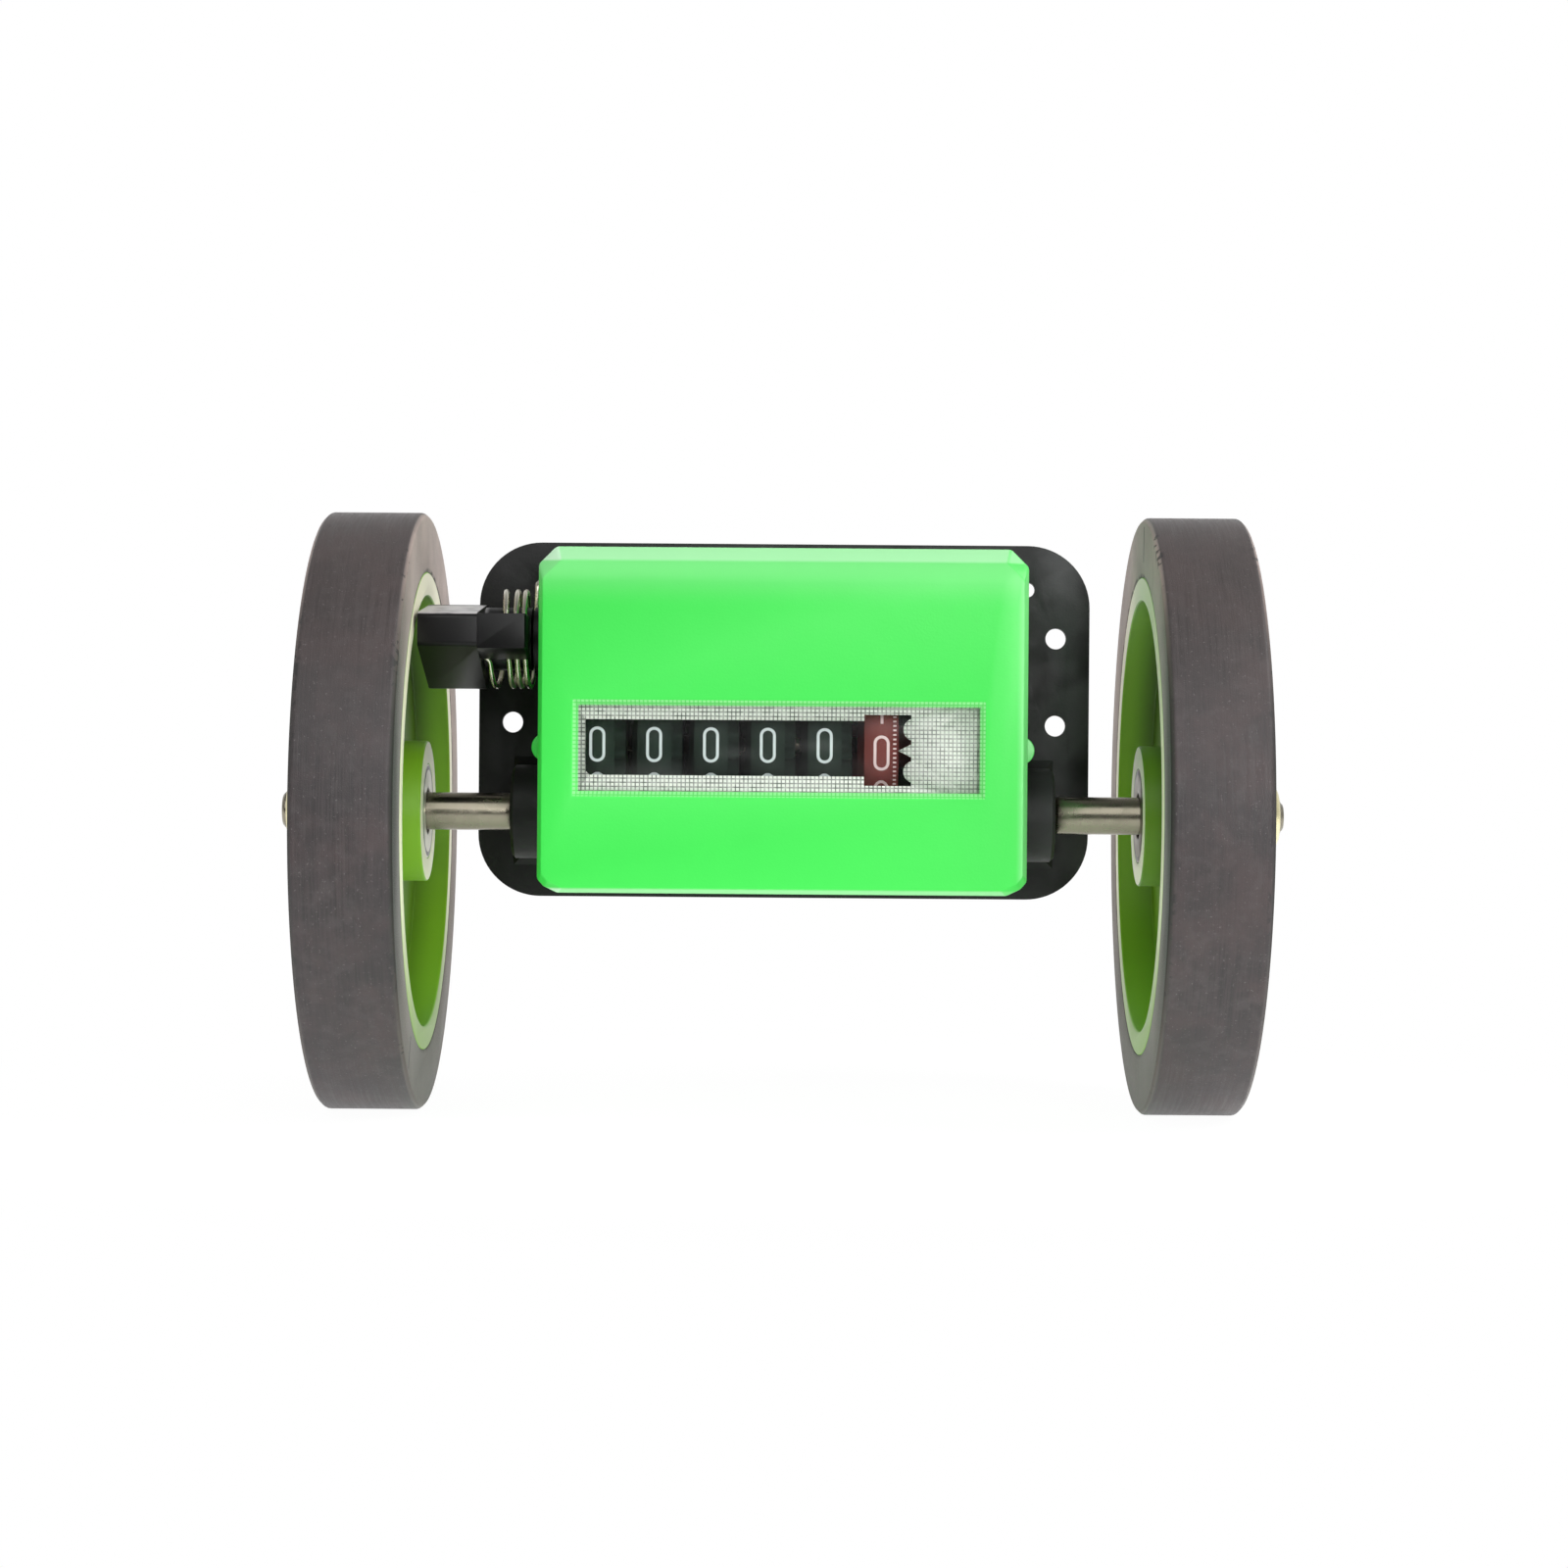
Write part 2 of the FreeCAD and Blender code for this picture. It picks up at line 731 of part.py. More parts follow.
def idler_gear():
    """Large and small gear in one piece on the idler axle."""
    bore = idler_axle_radius + running_gap
    back = direction(shaft_axis, idler_axis) + half_turn + half_turn / idler_large_teeth
    onward = direction(idler_axis, number_axis)
    large_x = (first_mesh_x, first_mesh_x + gear_width)
    small_x = (second_mesh_x, second_mesh_x + gear_width)
    large = gear(idler_large_teeth, first_tooth_form, large_x, bore, idler_axis, back)
    small = gear(idler_small_teeth, second_tooth_form, small_x, bore, idler_axis, onward)
    neck = ring(idler_boss_radius, bore, (small_x[1], large_x[0]), idler_axis)
    tail = ring(idler_boss_radius, bore, (large_x[1], frame_inner - face_gap), idler_axis)
    return large.fuse([small, neck, tail])


def drum_gear():
    """Gear beside the last number wheel, joined to it by the wheel's hub."""
    back = direction(idler_axis, number_axis) + half_turn + half_turn / drum_teeth
    x = (second_mesh_x, drum_end_x)
    return gear(drum_teeth, second_tooth_form, x, drum_hub_radius + seat_gap, number_axis, back)


# Number wheels and tens carry

def heart_cam(x, notch):
    """Heart-shaped cam: its radius grows evenly from the notch to the point opposite."""
    growth = cam_most_radius - cam_least_radius
    points = []
    for step in range(cam_steps):
        share = abs(2 * step / cam_steps - 1)
        radius = cam_most_radius - growth * share
        points.append(around(number_axis, radius, notch + full_turn * step / cam_steps, x[0]))
    return Part.Face(Part.makePolygon(points + points[:1])).extrude(point(x[1] - x[0], 0, 0))


def carry_arm(x):
    """Arm with two teeth that pushes the pinion on once a turn."""
    below = direction(number_axis, carry_axis)
    half_gap = half_turn / carry_gear_teeth
    tooth = math.degrees(carry_tooth_width / carry_arm_reach) / 2
    valley = carry_arm_reach - carry_tooth_depth
    outline = [
        (drum_hub_radius, half_turn), (drum_hub_radius, -3 * half_gap - tooth),
        (valley, -half_gap - 2 * tooth), (carry_arm_reach, -half_gap - tooth),
        (carry_arm_reach, -half_gap + tooth), (valley, 0), (carry_arm_reach, half_gap - tooth),
        (carry_arm_reach, half_gap + tooth), (valley, half_gap + 2 * tooth),
        (drum_hub_radius, 3 * half_gap + tooth),
    ]
    points = [around(number_axis, radius, below + angle, x[0]) for radius, angle in outline]
    return Part.Face(Part.makePolygon(points + points[:1])).extrude(point(x[1] - x[0], 0, 0))


def number_wheel(index):
    """Drum with its heart cam and carry teeth on the left and its carry gear on the right."""
    centre = wheel_places[index]
    last_digit = index == 0
    top_digit = index == wheel_count - 1
    left = centre - drum_half_width
    right = centre + drum_half_width
    bore = number_axle_radius + running_gap
    body = rod(drum_radius, (left, right), number_axis)
    below = direction(number_axis, carry_axis)
    notch = direction(number_axis, reset_axis) + (last_wheel_advance_angle if last_digit else 0)
    cam_x = (left - cam_width, left)
    parts = [heart_cam(cam_x, notch)]
    arm_x = (cam_x[0] - carry_arm_width, cam_x[0])
    if top_digit:
        parts.append(rod(drum_hub_radius, (-frame_inner + face_gap, cam_x[0]), number_axis))
    else:
        parts.append(carry_arm(arm_x))
    if last_digit:
        parts.append(rod(drum_hub_radius, (right, drum_end_x), number_axis))
    else:
        gear_x = (right, right + carry_gear_width)
        first = below + half_turn / carry_gear_teeth
        parts.append(gear(carry_gear_teeth, carry_tooth_form, gear_x, bore, number_axis, first))
    body = body.fuse(parts)
    return body.cut(rod(bore, (-frame_outer, frame_outer), number_axis))


def carry_pinion(index):
    """Pinion between two wheels: every tooth meets the gear, every second one is cut back at the arm."""
    upper = wheel_places[index + 1]
    start = upper + drum_half_width + carry_pinion_gap
    end = start + carry_pinion_width
    bore = carry_axle_radius + running_gap
    above = direction(carry_axis, number_axis)
    body = gear(carry_pinion_teeth, carry_tooth_form, (start, end), bore, carry_axis, above)
    middle = upper + drum_half_width + carry_gear_width + carry_pinion_gap
    root = carry_module * carry_pinion_teeth / 2 - carry_root_depth
    reach = root + carry_tip_height + carry_root_depth + overrun
    half = math.pi * carry_module / 4 + overrun / 4
    for tooth in range(1, carry_pinion_teeth, 2):
        angle = above + full_turn * tooth / carry_pinion_teeth
        y = (carry_axis[0] + root, carry_axis[0] + reach)
        cutter = block((middle, end + overrun), y, (carry_axis[1] - half, carry_axis[1] + half))
        cutter.rotate(point(0, carry_axis[0], carry_axis[1]), point(1, 0, 0), angle)
        body = body.cut(cutter)
    return body


# Reset

def reset_shaft():
    """Shaft from the lever to the right side wall, grooved for its clip."""
    body = rod(reset_shaft_radius, (lever_left, frame_outer), reset_axis)
    clip_x = (frame_inner - clip_gap - clip_thickness, frame_inner - clip_gap)
    groove = ring(reset_shaft_radius + overrun, clip_groove_radius, clip_x, reset_axis)
    return body.cut(groove)


def reset_clip():
    """Open clip in the groove of the reset shaft."""
    x = (frame_inner - clip_gap - clip_thickness, frame_inner - clip_gap)
    body = ring(clip_radius, clip_groove_radius + seat_gap, x, reset_axis)
    half = clip_groove_radius
    mouth_y = (reset_axis_y, reset_axis_y + clip_radius + overrun)
    return body.cut(block(x, mouth_y, (reset_axis_z - half, reset_axis_z + half)))


def reset_comb():
    """Sleeve with one finger for each heart cam, held back from the cams at rest."""
    rest = direction(reset_axis, number_axis) - reset_travel_angle
    bore = reset_shaft_radius + seat_gap
    body = rod(comb_radius, (-frame_inner + face_gap, comb_end), reset_axis)
    half = finger_width / 2
    gap = (cam_width - finger_thickness) / 2
    for centre in wheel_places:
        x = centre - drum_half_width - cam_width + gap
        finger_y = (reset_axis_y, reset_axis_y + finger_length)
        finger = block((x, x + finger_thickness), finger_y, (reset_axis_z - half, reset_axis_z + half))
        finger.rotate(point(0, reset_axis_y, reset_axis_z), point(1, 0, 0), rest)
        body = body.fuse(finger)
    return body.cut(rod(bore, (-frame_outer, frame_outer), reset_axis))


def reset_lever():
    """Thumb lever that widens towards its axis, with a bar that reaches across the spring."""
    outline = [
        (lever_front, lever_tip_bottom), (lever_front, lever_tip_top), (lever_root, lever_root_top),
        (lever_back, lever_root_top), (lever_back, lever_root_bottom), (lever_root, lever_root_bottom),
    ]
    points = [point(lever_left, y, z) for y, z in outline]
    rounds = [lever_edge, lever_edge, lever_edge, lever_hub_radius / 2, lever_hub_radius / 2, lever_edge]
    body = rounded_face(points, rounds).extrude(point(lever_right - lever_left, 0, 0))
    bar_front = lever_front + finger_bar_step
    bar_outline = [
        (bar_front, finger_bar_front_bottom), (bar_front, lever_tip_top),
        (finger_bar_back, lever_tip_top), (finger_bar_back, finger_bar_back_bottom),
    ]
    bar_points = [point(lever_right, y, z) for y, z in bar_outline]
    bar_face = Part.Face(Part.makePolygon(bar_points + bar_points[:1]))
    bar = bar_face.extrude(point(finger_bar_right - lever_right, 0, 0))
    seam = [edge for edge in bar.Edges if abs(edge.CenterOfMass.x - finger_bar_right) < seat_gap]
    bar = bar.makeChamfer(lever_edge / 3, seam)
    body = body.fuse([bar, rod(lever_hub_radius, (lever_right, lever_hub_end), reset_axis)])
    bore_x = (lever_left - overrun, lever_hub_end + overrun)
    body = body.cut(rod(reset_shaft_radius + seat_gap, bore_x, reset_axis))
    leg = spring_path()[0]
    hole_x = (lever_right - spring_leg_sink - face_gap, lever_right + overrun)
    return body.cut(rod(spring_wire / 2 + spring_hole_gap, hole_x, (leg.CenterOfMass.y, leg.CenterOfMass.z)))


def arc_edge(start, tangent, end):
    """Circular edge that leaves its start along a tangent."""
    chord = end - start
    angle = tangent.getAngle(chord)
    along = chord * (1 / chord.Length)
    side = (tangent - along * tangent.dot(along)).normalize()
    middle = start + chord * 0.5 + side * (chord.Length / 2 * math.tan(angle / 2))
    return Part.Arc(start, middle, end).toShape()


def biarc(start, start_tangent, end, end_tangent):
    """Two circular edges that join two points and keep both tangents."""
    span = end - start
    total = start_tangent + end_tangent
    spread = 2 * (1 - start_tangent.dot(end_tangent))
    slope = span.dot(total)
    reach = (-slope + math.sqrt(slope ** 2 + spread * span.dot(span))) / spread
    joint = (start + end + (start_tangent - end_tangent) * reach) * 0.5
    first = arc_edge(start, start_tangent, joint)
    second_tangent = first.tangentAt(first.LastParameter)
    return [first, arc_edge(joint, second_tangent, end)]


def spring_height(turn):
    """Place along X after a number of turns: one wide turn, then even ones."""
    wide = min(turn, 1) * spring_wide_pitch
    even = max(turn - 1, 0) * spring_pitch
    return wide + even


def spring_path():
    """Edges of the spring: leg in the lever, turns down the front and up the back, leg through the plate."""
    total = spring_turns + 1 - spring_start_angle / full_turn
    start_x = spring_end - spring_height(total)
    steps = 4 * (spring_turns + 1)
    places = []
    tangents = []
    for step in range(steps + 1):
        turn = total * step / steps
        angle = spring_start_angle + full_turn * turn
        here = math.radians(angle)
        pitch = spring_wide_pitch if turn < 1 else spring_pitch
        rise = pitch / (2 * math.pi * spring_radius)
        places.append(around(reset_axis, spring_radius, angle, start_x + spring_height(turn)))
        tangents.append(point(rise, -math.sin(here), math.cos(here)).normalize())
    bend = spring_leg_bend
    first_leg_end = places[0] - tangents[0] * bend - point(bend, 0, 0)
    inner_end = point(lever_right - spring_leg_sink, first_leg_end.y, first_leg_end.z)
    edges = [Part.makeLine(inner_end, first_leg_end)]
    edges.append(arc_edge(first_leg_end, point(1, 0, 0), places[0]))
    tangents[0] = edges[-1].tangentAt(edges[-1].LastParameter)
    for step in range(steps):
        edges += biarc(places[step], tangents[step], places[step + 1], tangents[step + 1])
    tangent = tangents[-1]
    foot = places[-1] + tangent * bend
    corner = point(-small_hole_side, foot.y, small_hole_height - bend)
    edges.append(Part.makeLine(places[-1], foot))
    edges += biarc(foot, tangent, corner, point(0, 0, 1))
    after = point(corner.x, corner.y + bend, small_hole_height)
    edges.append(arc_edge(corner, point(0, 0, 1), after))
    edges.append(Part.makeLine(after, point(after.x, plate_back, after.z)))
    return edges


def least_gap(edges):
    """Least clear distance between turns of the wire, measured on points along it."""
    points = []
    travelled = 0
    step = spring_wire / 2
    for edge in edges:
        count = max(2, int(edge.Length / step))
        samples = edge.discretize(count + 1)
        for sample in samples[1:]:
            travelled += edge.Length / count
            points.append((travelled, sample))
    apart = math.pi * spring_radius
    gaps = [
        (first[1] - second[1]).Length
        for index, first in enumerate(points)
        for second in points[index + 1:]
        if second[0] - first[0] > apart
    ]
    return min(gaps) - spring_wire


def reset_spring():
    """Torsion spring of round wire, swept in one piece along its path."""
    edges = spring_path()
    print("least gap between the spring's turns:", round(least_gap(edges), 3))
    path = Part.Wire(edges)
    start = edges[0].valueAt(edges[0].FirstParameter)
    corners = []
    for index in range(spring_sides):
        turn = 2 * math.pi * (index + 0.5) / spring_sides
        corners.append(start + point(0, math.cos(turn), math.sin(turn)) * (spring_wire / 2))
    section = Part.makePolygon(corners + corners[:1])
    sweep = Part.BRepOffsetAPI.MakePipeShell(path)
    sweep.add(section)
    sweep.build()
    sweep.makeSolid()
    return sweep.shape()


def all_pieces():
    """Every sub-part by its name."""
    pieces = {
        "base_frame": base_frame(),
        "cover": cover(),
        "window_lens": window_lens(),
        "digit_mask": digit_mask(),
        "shaft_bush_left": shaft_bush(-1),
        "shaft_bush_right": shaft_bush(1),
        "number_axle": number_axle(),
        "carry_axle": carry_axle(),
        "idler_axle": idler_axle(),
        "axle_spacer": axle_spacer(),
        "input_shaft": input_shaft(),
        "shaft_sleeve": shaft_sleeve(),
        "wheel_left": wheel_rim(-1),
        "wheel_right": wheel_rim(1),
        "tyre_left": tyre(-1),
        "tyre_right": tyre(1),
        "hub_insert_left": hub_insert(-1),
        "hub_insert_right": hub_insert(1),
        "collar_left": collar(-1),
        "collar_right": collar(1),
        "input_gear": input_gear(),
        "idler_gear": idler_gear(),
        "drum_gear": drum_gear(),
        "reset_shaft": reset_shaft(),
        "reset_clip": reset_clip(),
        "reset_comb": reset_comb(),
        "reset_lever": reset_lever(),
        "reset_spring": reset_spring(),
    }
    for index in range(wheel_count):
        pieces["number_wheel_" + str(index + 1)] = number_wheel(index)
    for index in range(wheel_count - 1):
        pieces["carry_pinion_" + str(index + 1)] = carry_pinion(index)
    return pieces


os.makedirs("parts", exist_ok=True)
for name, shape in all_pieces().items():
    shape.exportStep("parts/" + name + ".step")
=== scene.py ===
import math

import bpy
from mathutils import Matrix, Vector


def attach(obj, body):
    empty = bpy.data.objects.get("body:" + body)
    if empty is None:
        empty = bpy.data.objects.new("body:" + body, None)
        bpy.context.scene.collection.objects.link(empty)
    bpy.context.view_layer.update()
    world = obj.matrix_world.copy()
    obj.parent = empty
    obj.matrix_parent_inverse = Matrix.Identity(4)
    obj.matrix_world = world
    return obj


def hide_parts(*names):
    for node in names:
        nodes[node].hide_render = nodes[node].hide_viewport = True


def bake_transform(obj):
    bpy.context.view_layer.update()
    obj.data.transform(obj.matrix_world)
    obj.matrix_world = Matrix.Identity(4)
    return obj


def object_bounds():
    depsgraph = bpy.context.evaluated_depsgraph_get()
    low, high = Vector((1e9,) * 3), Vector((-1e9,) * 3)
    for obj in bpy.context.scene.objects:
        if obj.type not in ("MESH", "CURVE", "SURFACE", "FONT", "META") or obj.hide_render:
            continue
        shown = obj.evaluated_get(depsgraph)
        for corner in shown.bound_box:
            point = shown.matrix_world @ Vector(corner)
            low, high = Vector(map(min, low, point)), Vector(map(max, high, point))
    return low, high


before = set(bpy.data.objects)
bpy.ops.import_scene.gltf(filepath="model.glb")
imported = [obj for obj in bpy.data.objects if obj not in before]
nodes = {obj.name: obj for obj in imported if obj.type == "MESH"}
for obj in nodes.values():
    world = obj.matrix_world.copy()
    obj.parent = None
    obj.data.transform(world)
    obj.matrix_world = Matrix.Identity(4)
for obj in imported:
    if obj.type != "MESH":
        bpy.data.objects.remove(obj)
box_low, box_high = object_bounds()

# Lengths below are in metres; mm turns millimetres into metres.
mm = 0.001

# Number wheels
number_axis = (-12.3 * mm, 10.8 * mm)
drum_radius = 11.3 * mm
first_wheel_x = 15.2 * mm
wheel_pitch = 8.74 * mm
wheel_count = 6
digit_step = 36.0
last_wheel_advance = 5.5
digit_stroke = 0.44 * mm
digit_half_width = 1.01 * mm
digit_half_height = 2.51 * mm
digit_height = 0.035 * mm
digit_sink = 0.02 * mm
tick_x = 17.22 * mm
tick_length = 0.48 * mm
tick_width = 0.26 * mm
tick_count = 100

# Reset spring, the same path as the wire of the frame
reset_axis = (-5.4 * mm, 27.5 * mm)
wire_radius = 0.425 * mm
coil_radius = 7.52 * mm
coil_pitch = 1.3 * mm
coil_wide_pitch = 3.0 * mm
coil_turns = 3
coil_end_x = -40.0 * mm
coil_start_angle = 213.0
coil_bend = 1.3 * mm
coil_leg_x = -48.9 * mm
hole_x = -39.8 * mm
hole_height = 36.8 * mm
plate_back_y = 12.9 * mm

# Wheels and their parts
tread_radius = 47.7465 * mm
rim_outer = 38.2965 * mm
wheel_middle = 64.85 * mm
wheel_half_width = 7.75 * mm
hub_radius = 11.25 * mm
groove_radius = 6.95 * mm
groove_half = 0.42 * mm

# Cover and window
cover_bend_start = 35.6 * mm
cover_bend_end = 38.8 * mm
cover_bend_radius = 9.0 * mm
cover_low_bevel = -11.2 * mm
cover_side_bevel = 36.8 * mm
window_bottom = 2.8 * mm
window_top = 17.6 * mm
window_reach = 32.2 * mm
mask_pitch = 0.64 * mm
mask_glow_width = 1.8 * mm
grid_change_x = 18.0 * mm

# Lever and base plate
finger_end = -46.5 * mm
finger_root = -8.0 * mm
plate_sheen_x = 38.0 * mm

# Scale of the fine lines on turned metal
turned_line_scale = 9000.0

# Light
room_light = 0.2
backdrop_light = 1.0
zenith_share = 0.45
floor_glow = 0.55
sheet_reach = 0.2
floor_reach = 3.0

# Camera
camera_place = (2.37 * mm, -538.4 * mm, 7.9 * mm)
camera_yaw = 0.236
camera_pitch = -0.336
camera_roll = 0.434
focal_pixels = 3419.0
image_pixels = 1600.0
sensor_width = 36.0


def srgb(red, green, blue):
    """Colour given as 0-255 turned into the linear values that shaders take."""
    values = []
    for value in (red, green, blue):
        share = value / 255
        values.append(share / 12.92 if share <= 0.04045 else ((share + 0.055) / 1.055) ** 2.4)
    return (*values, 1.0)


class Shader:
    """A material with one Principled surface, built node by node."""

    def __init__(self, name, **values):
        self.material = bpy.data.materials.new(name)
        self.material.use_nodes = True
        self.tree = self.material.node_tree
        self.tree.nodes.clear()
        self.surface = self.tree.nodes.new("ShaderNodeBsdfPrincipled")
        self.output = self.tree.nodes.new("ShaderNodeOutputMaterial")
        self.tree.links.new(self.surface.outputs[0], self.output.inputs["Surface"])
        self.set(**values)
        coordinates = self.tree.nodes.new("ShaderNodeTexCoord")
        self.place = coordinates.outputs["Object"]
        split = self.node("SeparateXYZ", self.place)
        self.x, self.y, self.z = split.outputs
        split = self.node("SeparateXYZ", coordinates.outputs["Normal"])
        self.facing_x, self.facing_y, self.facing_z = split.outputs

    def put(self, socket, value):
        if isinstance(value, bpy.types.NodeSocket):
            self.tree.links.new(value, socket)
        else:
            socket.default_value = value

    def set(self, **values):
        names = {
            "color": "Base Color", "rough": "Roughness", "metal": "Metallic", "coat": "Coat Weight",
            "coat_rough": "Coat Roughness", "specular": "Specular IOR Level", "normal": "Normal",
            "glow": "Emission Strength", "glow_color": "Emission Color",
            "sheen": "Sheen Weight", "sheen_rough": "Sheen Roughness",
        }
        for key, value in values.items():
            self.put(self.surface.inputs[names[key]], value)

    def node(self, kind, *values, **settings):
        made = self.tree.nodes.new("ShaderNode" + kind)
        for key, value in settings.items():
            setattr(made, key, value)
        for socket, value in zip(made.inputs, values):
            self.put(socket, value)
        return made

    def math(self, operation, *values):
        return self.node("Math", *values, operation=operation).outputs[0]

    def times(self, first, *others):
        for other in others:
            first = self.math("MULTIPLY", first, other)
        return first

    def plus(self, first, second):
        return self.math("ADD", first, second)

    def minus(self, first, second):
        return self.math("SUBTRACT", first, second)

    def most(self, first, second):
        return self.math("MAXIMUM", first, second)

    def least(self, first, second):
        return self.math("MINIMUM", first, second)

    def size(self, value):
        """The value without its sign."""
        return self.math("ABSOLUTE", value)

    def gap(self, first, second):
        return self.size(self.minus(first, second))

    def join(self, x, y, z):
        return self.node("CombineXYZ", x, y, z).outputs[0]

    def noise(self, vector, scale, detail=2.0, rough=0.5):
        made = self.node("TexNoise")
        self.put(made.inputs["Vector"], vector)
        self.put(made.inputs["Scale"], scale)
        self.put(made.inputs["Detail"], detail)
        self.put(made.inputs["Roughness"], rough)
        return made.outputs[0]

    def mix(self, share, first, second):
        made = self.node("Mix", data_type="RGBA")
        self.put(made.inputs[0], share)
        self.put(made.inputs[6], first)
        self.put(made.inputs[7], second)
        return made.outputs[2]

    def between(self, value, low, high, to_low=0.0, to_high=1.0):
        """Value taken from one range to another, smoothly, and held at its ends."""
        made = self.node("MapRange", value, low, high, to_low, to_high, interpolation_type="SMOOTHSTEP")
        return made.outputs[0]

    def bump(self, height, distance, strength=1.0):
        made = self.node("Bump")
        self.put(made.inputs["Strength"], strength)
        self.put(made.inputs["Distance"], distance)
        self.put(made.inputs["Height"], height)
        self.set(normal=made.outputs[0])

    def radius(self):
        """Distance from the wheel shaft's axis."""
        return self.math("SQRT", self.plus(self.times(self.y, self.y), self.times(self.z, self.z)))

    def radius_flat(self):
        """Distance from the upright line through the origin."""
        return self.math("SQRT", self.plus(self.times(self.x, self.x), self.times(self.y, self.y)))

    def angle(self):
        """Angle about the wheel shaft's axis, in radians."""
        return self.math("ARCTAN2", self.z, self.y)

    def off_middle(self):
        """Distance from the plane through the middle of the nearer wheel."""
        return self.gap(self.size(self.x), wheel_middle)

    def color_so_far(self):
        return self.surface.inputs["Base Color"].links[0].from_socket


# Materials

def moulded(name, color, rough, grain, coat=0.0, spread=0.05):
    """Moulded plastic: even colour with a faint cloud in it, and a fine skin."""
    shader = Shader(name, rough=rough, coat=coat, coat_rough=0.12)
    cloud = shader.noise(shader.place, 90.0, 3.0)
    darker = tuple(value * (1 - spread) for value in color[:3]) + (1.0,)
    shader.set(color=shader.mix(cloud, darker, color))
    fine = shader.noise(shader.place, 2600.0, 2.0)
    wide = shader.noise(shader.place, 160.0, 1.0)
    shader.bump(shader.plus(fine, shader.times(wide, 3.0)), grain)
    return shader


def turned_metal(name, color, rough, lines):
    """Metal turned about the shaft's axis, with fine lines that run round it."""
    shader = Shader(name, metal=1.0)
    across = shader.times(shader.x, turned_line_scale)
    outward = shader.times(shader.radius(), turned_line_scale)
    streak = shader.noise(shader.join(across, outward, 0.0), 1.0, 2.0)
    darker = tuple(value * 0.72 for value in color[:3]) + (1.0,)
    shader.set(color=shader.mix(streak, darker, color))
    cloud = shader.noise(shader.place, 300.0)
    shader.set(rough=shader.between(cloud, 0.3, 0.7, rough * 0.8, rough * 1.25))
    shader.bump(streak, lines)
    return shader


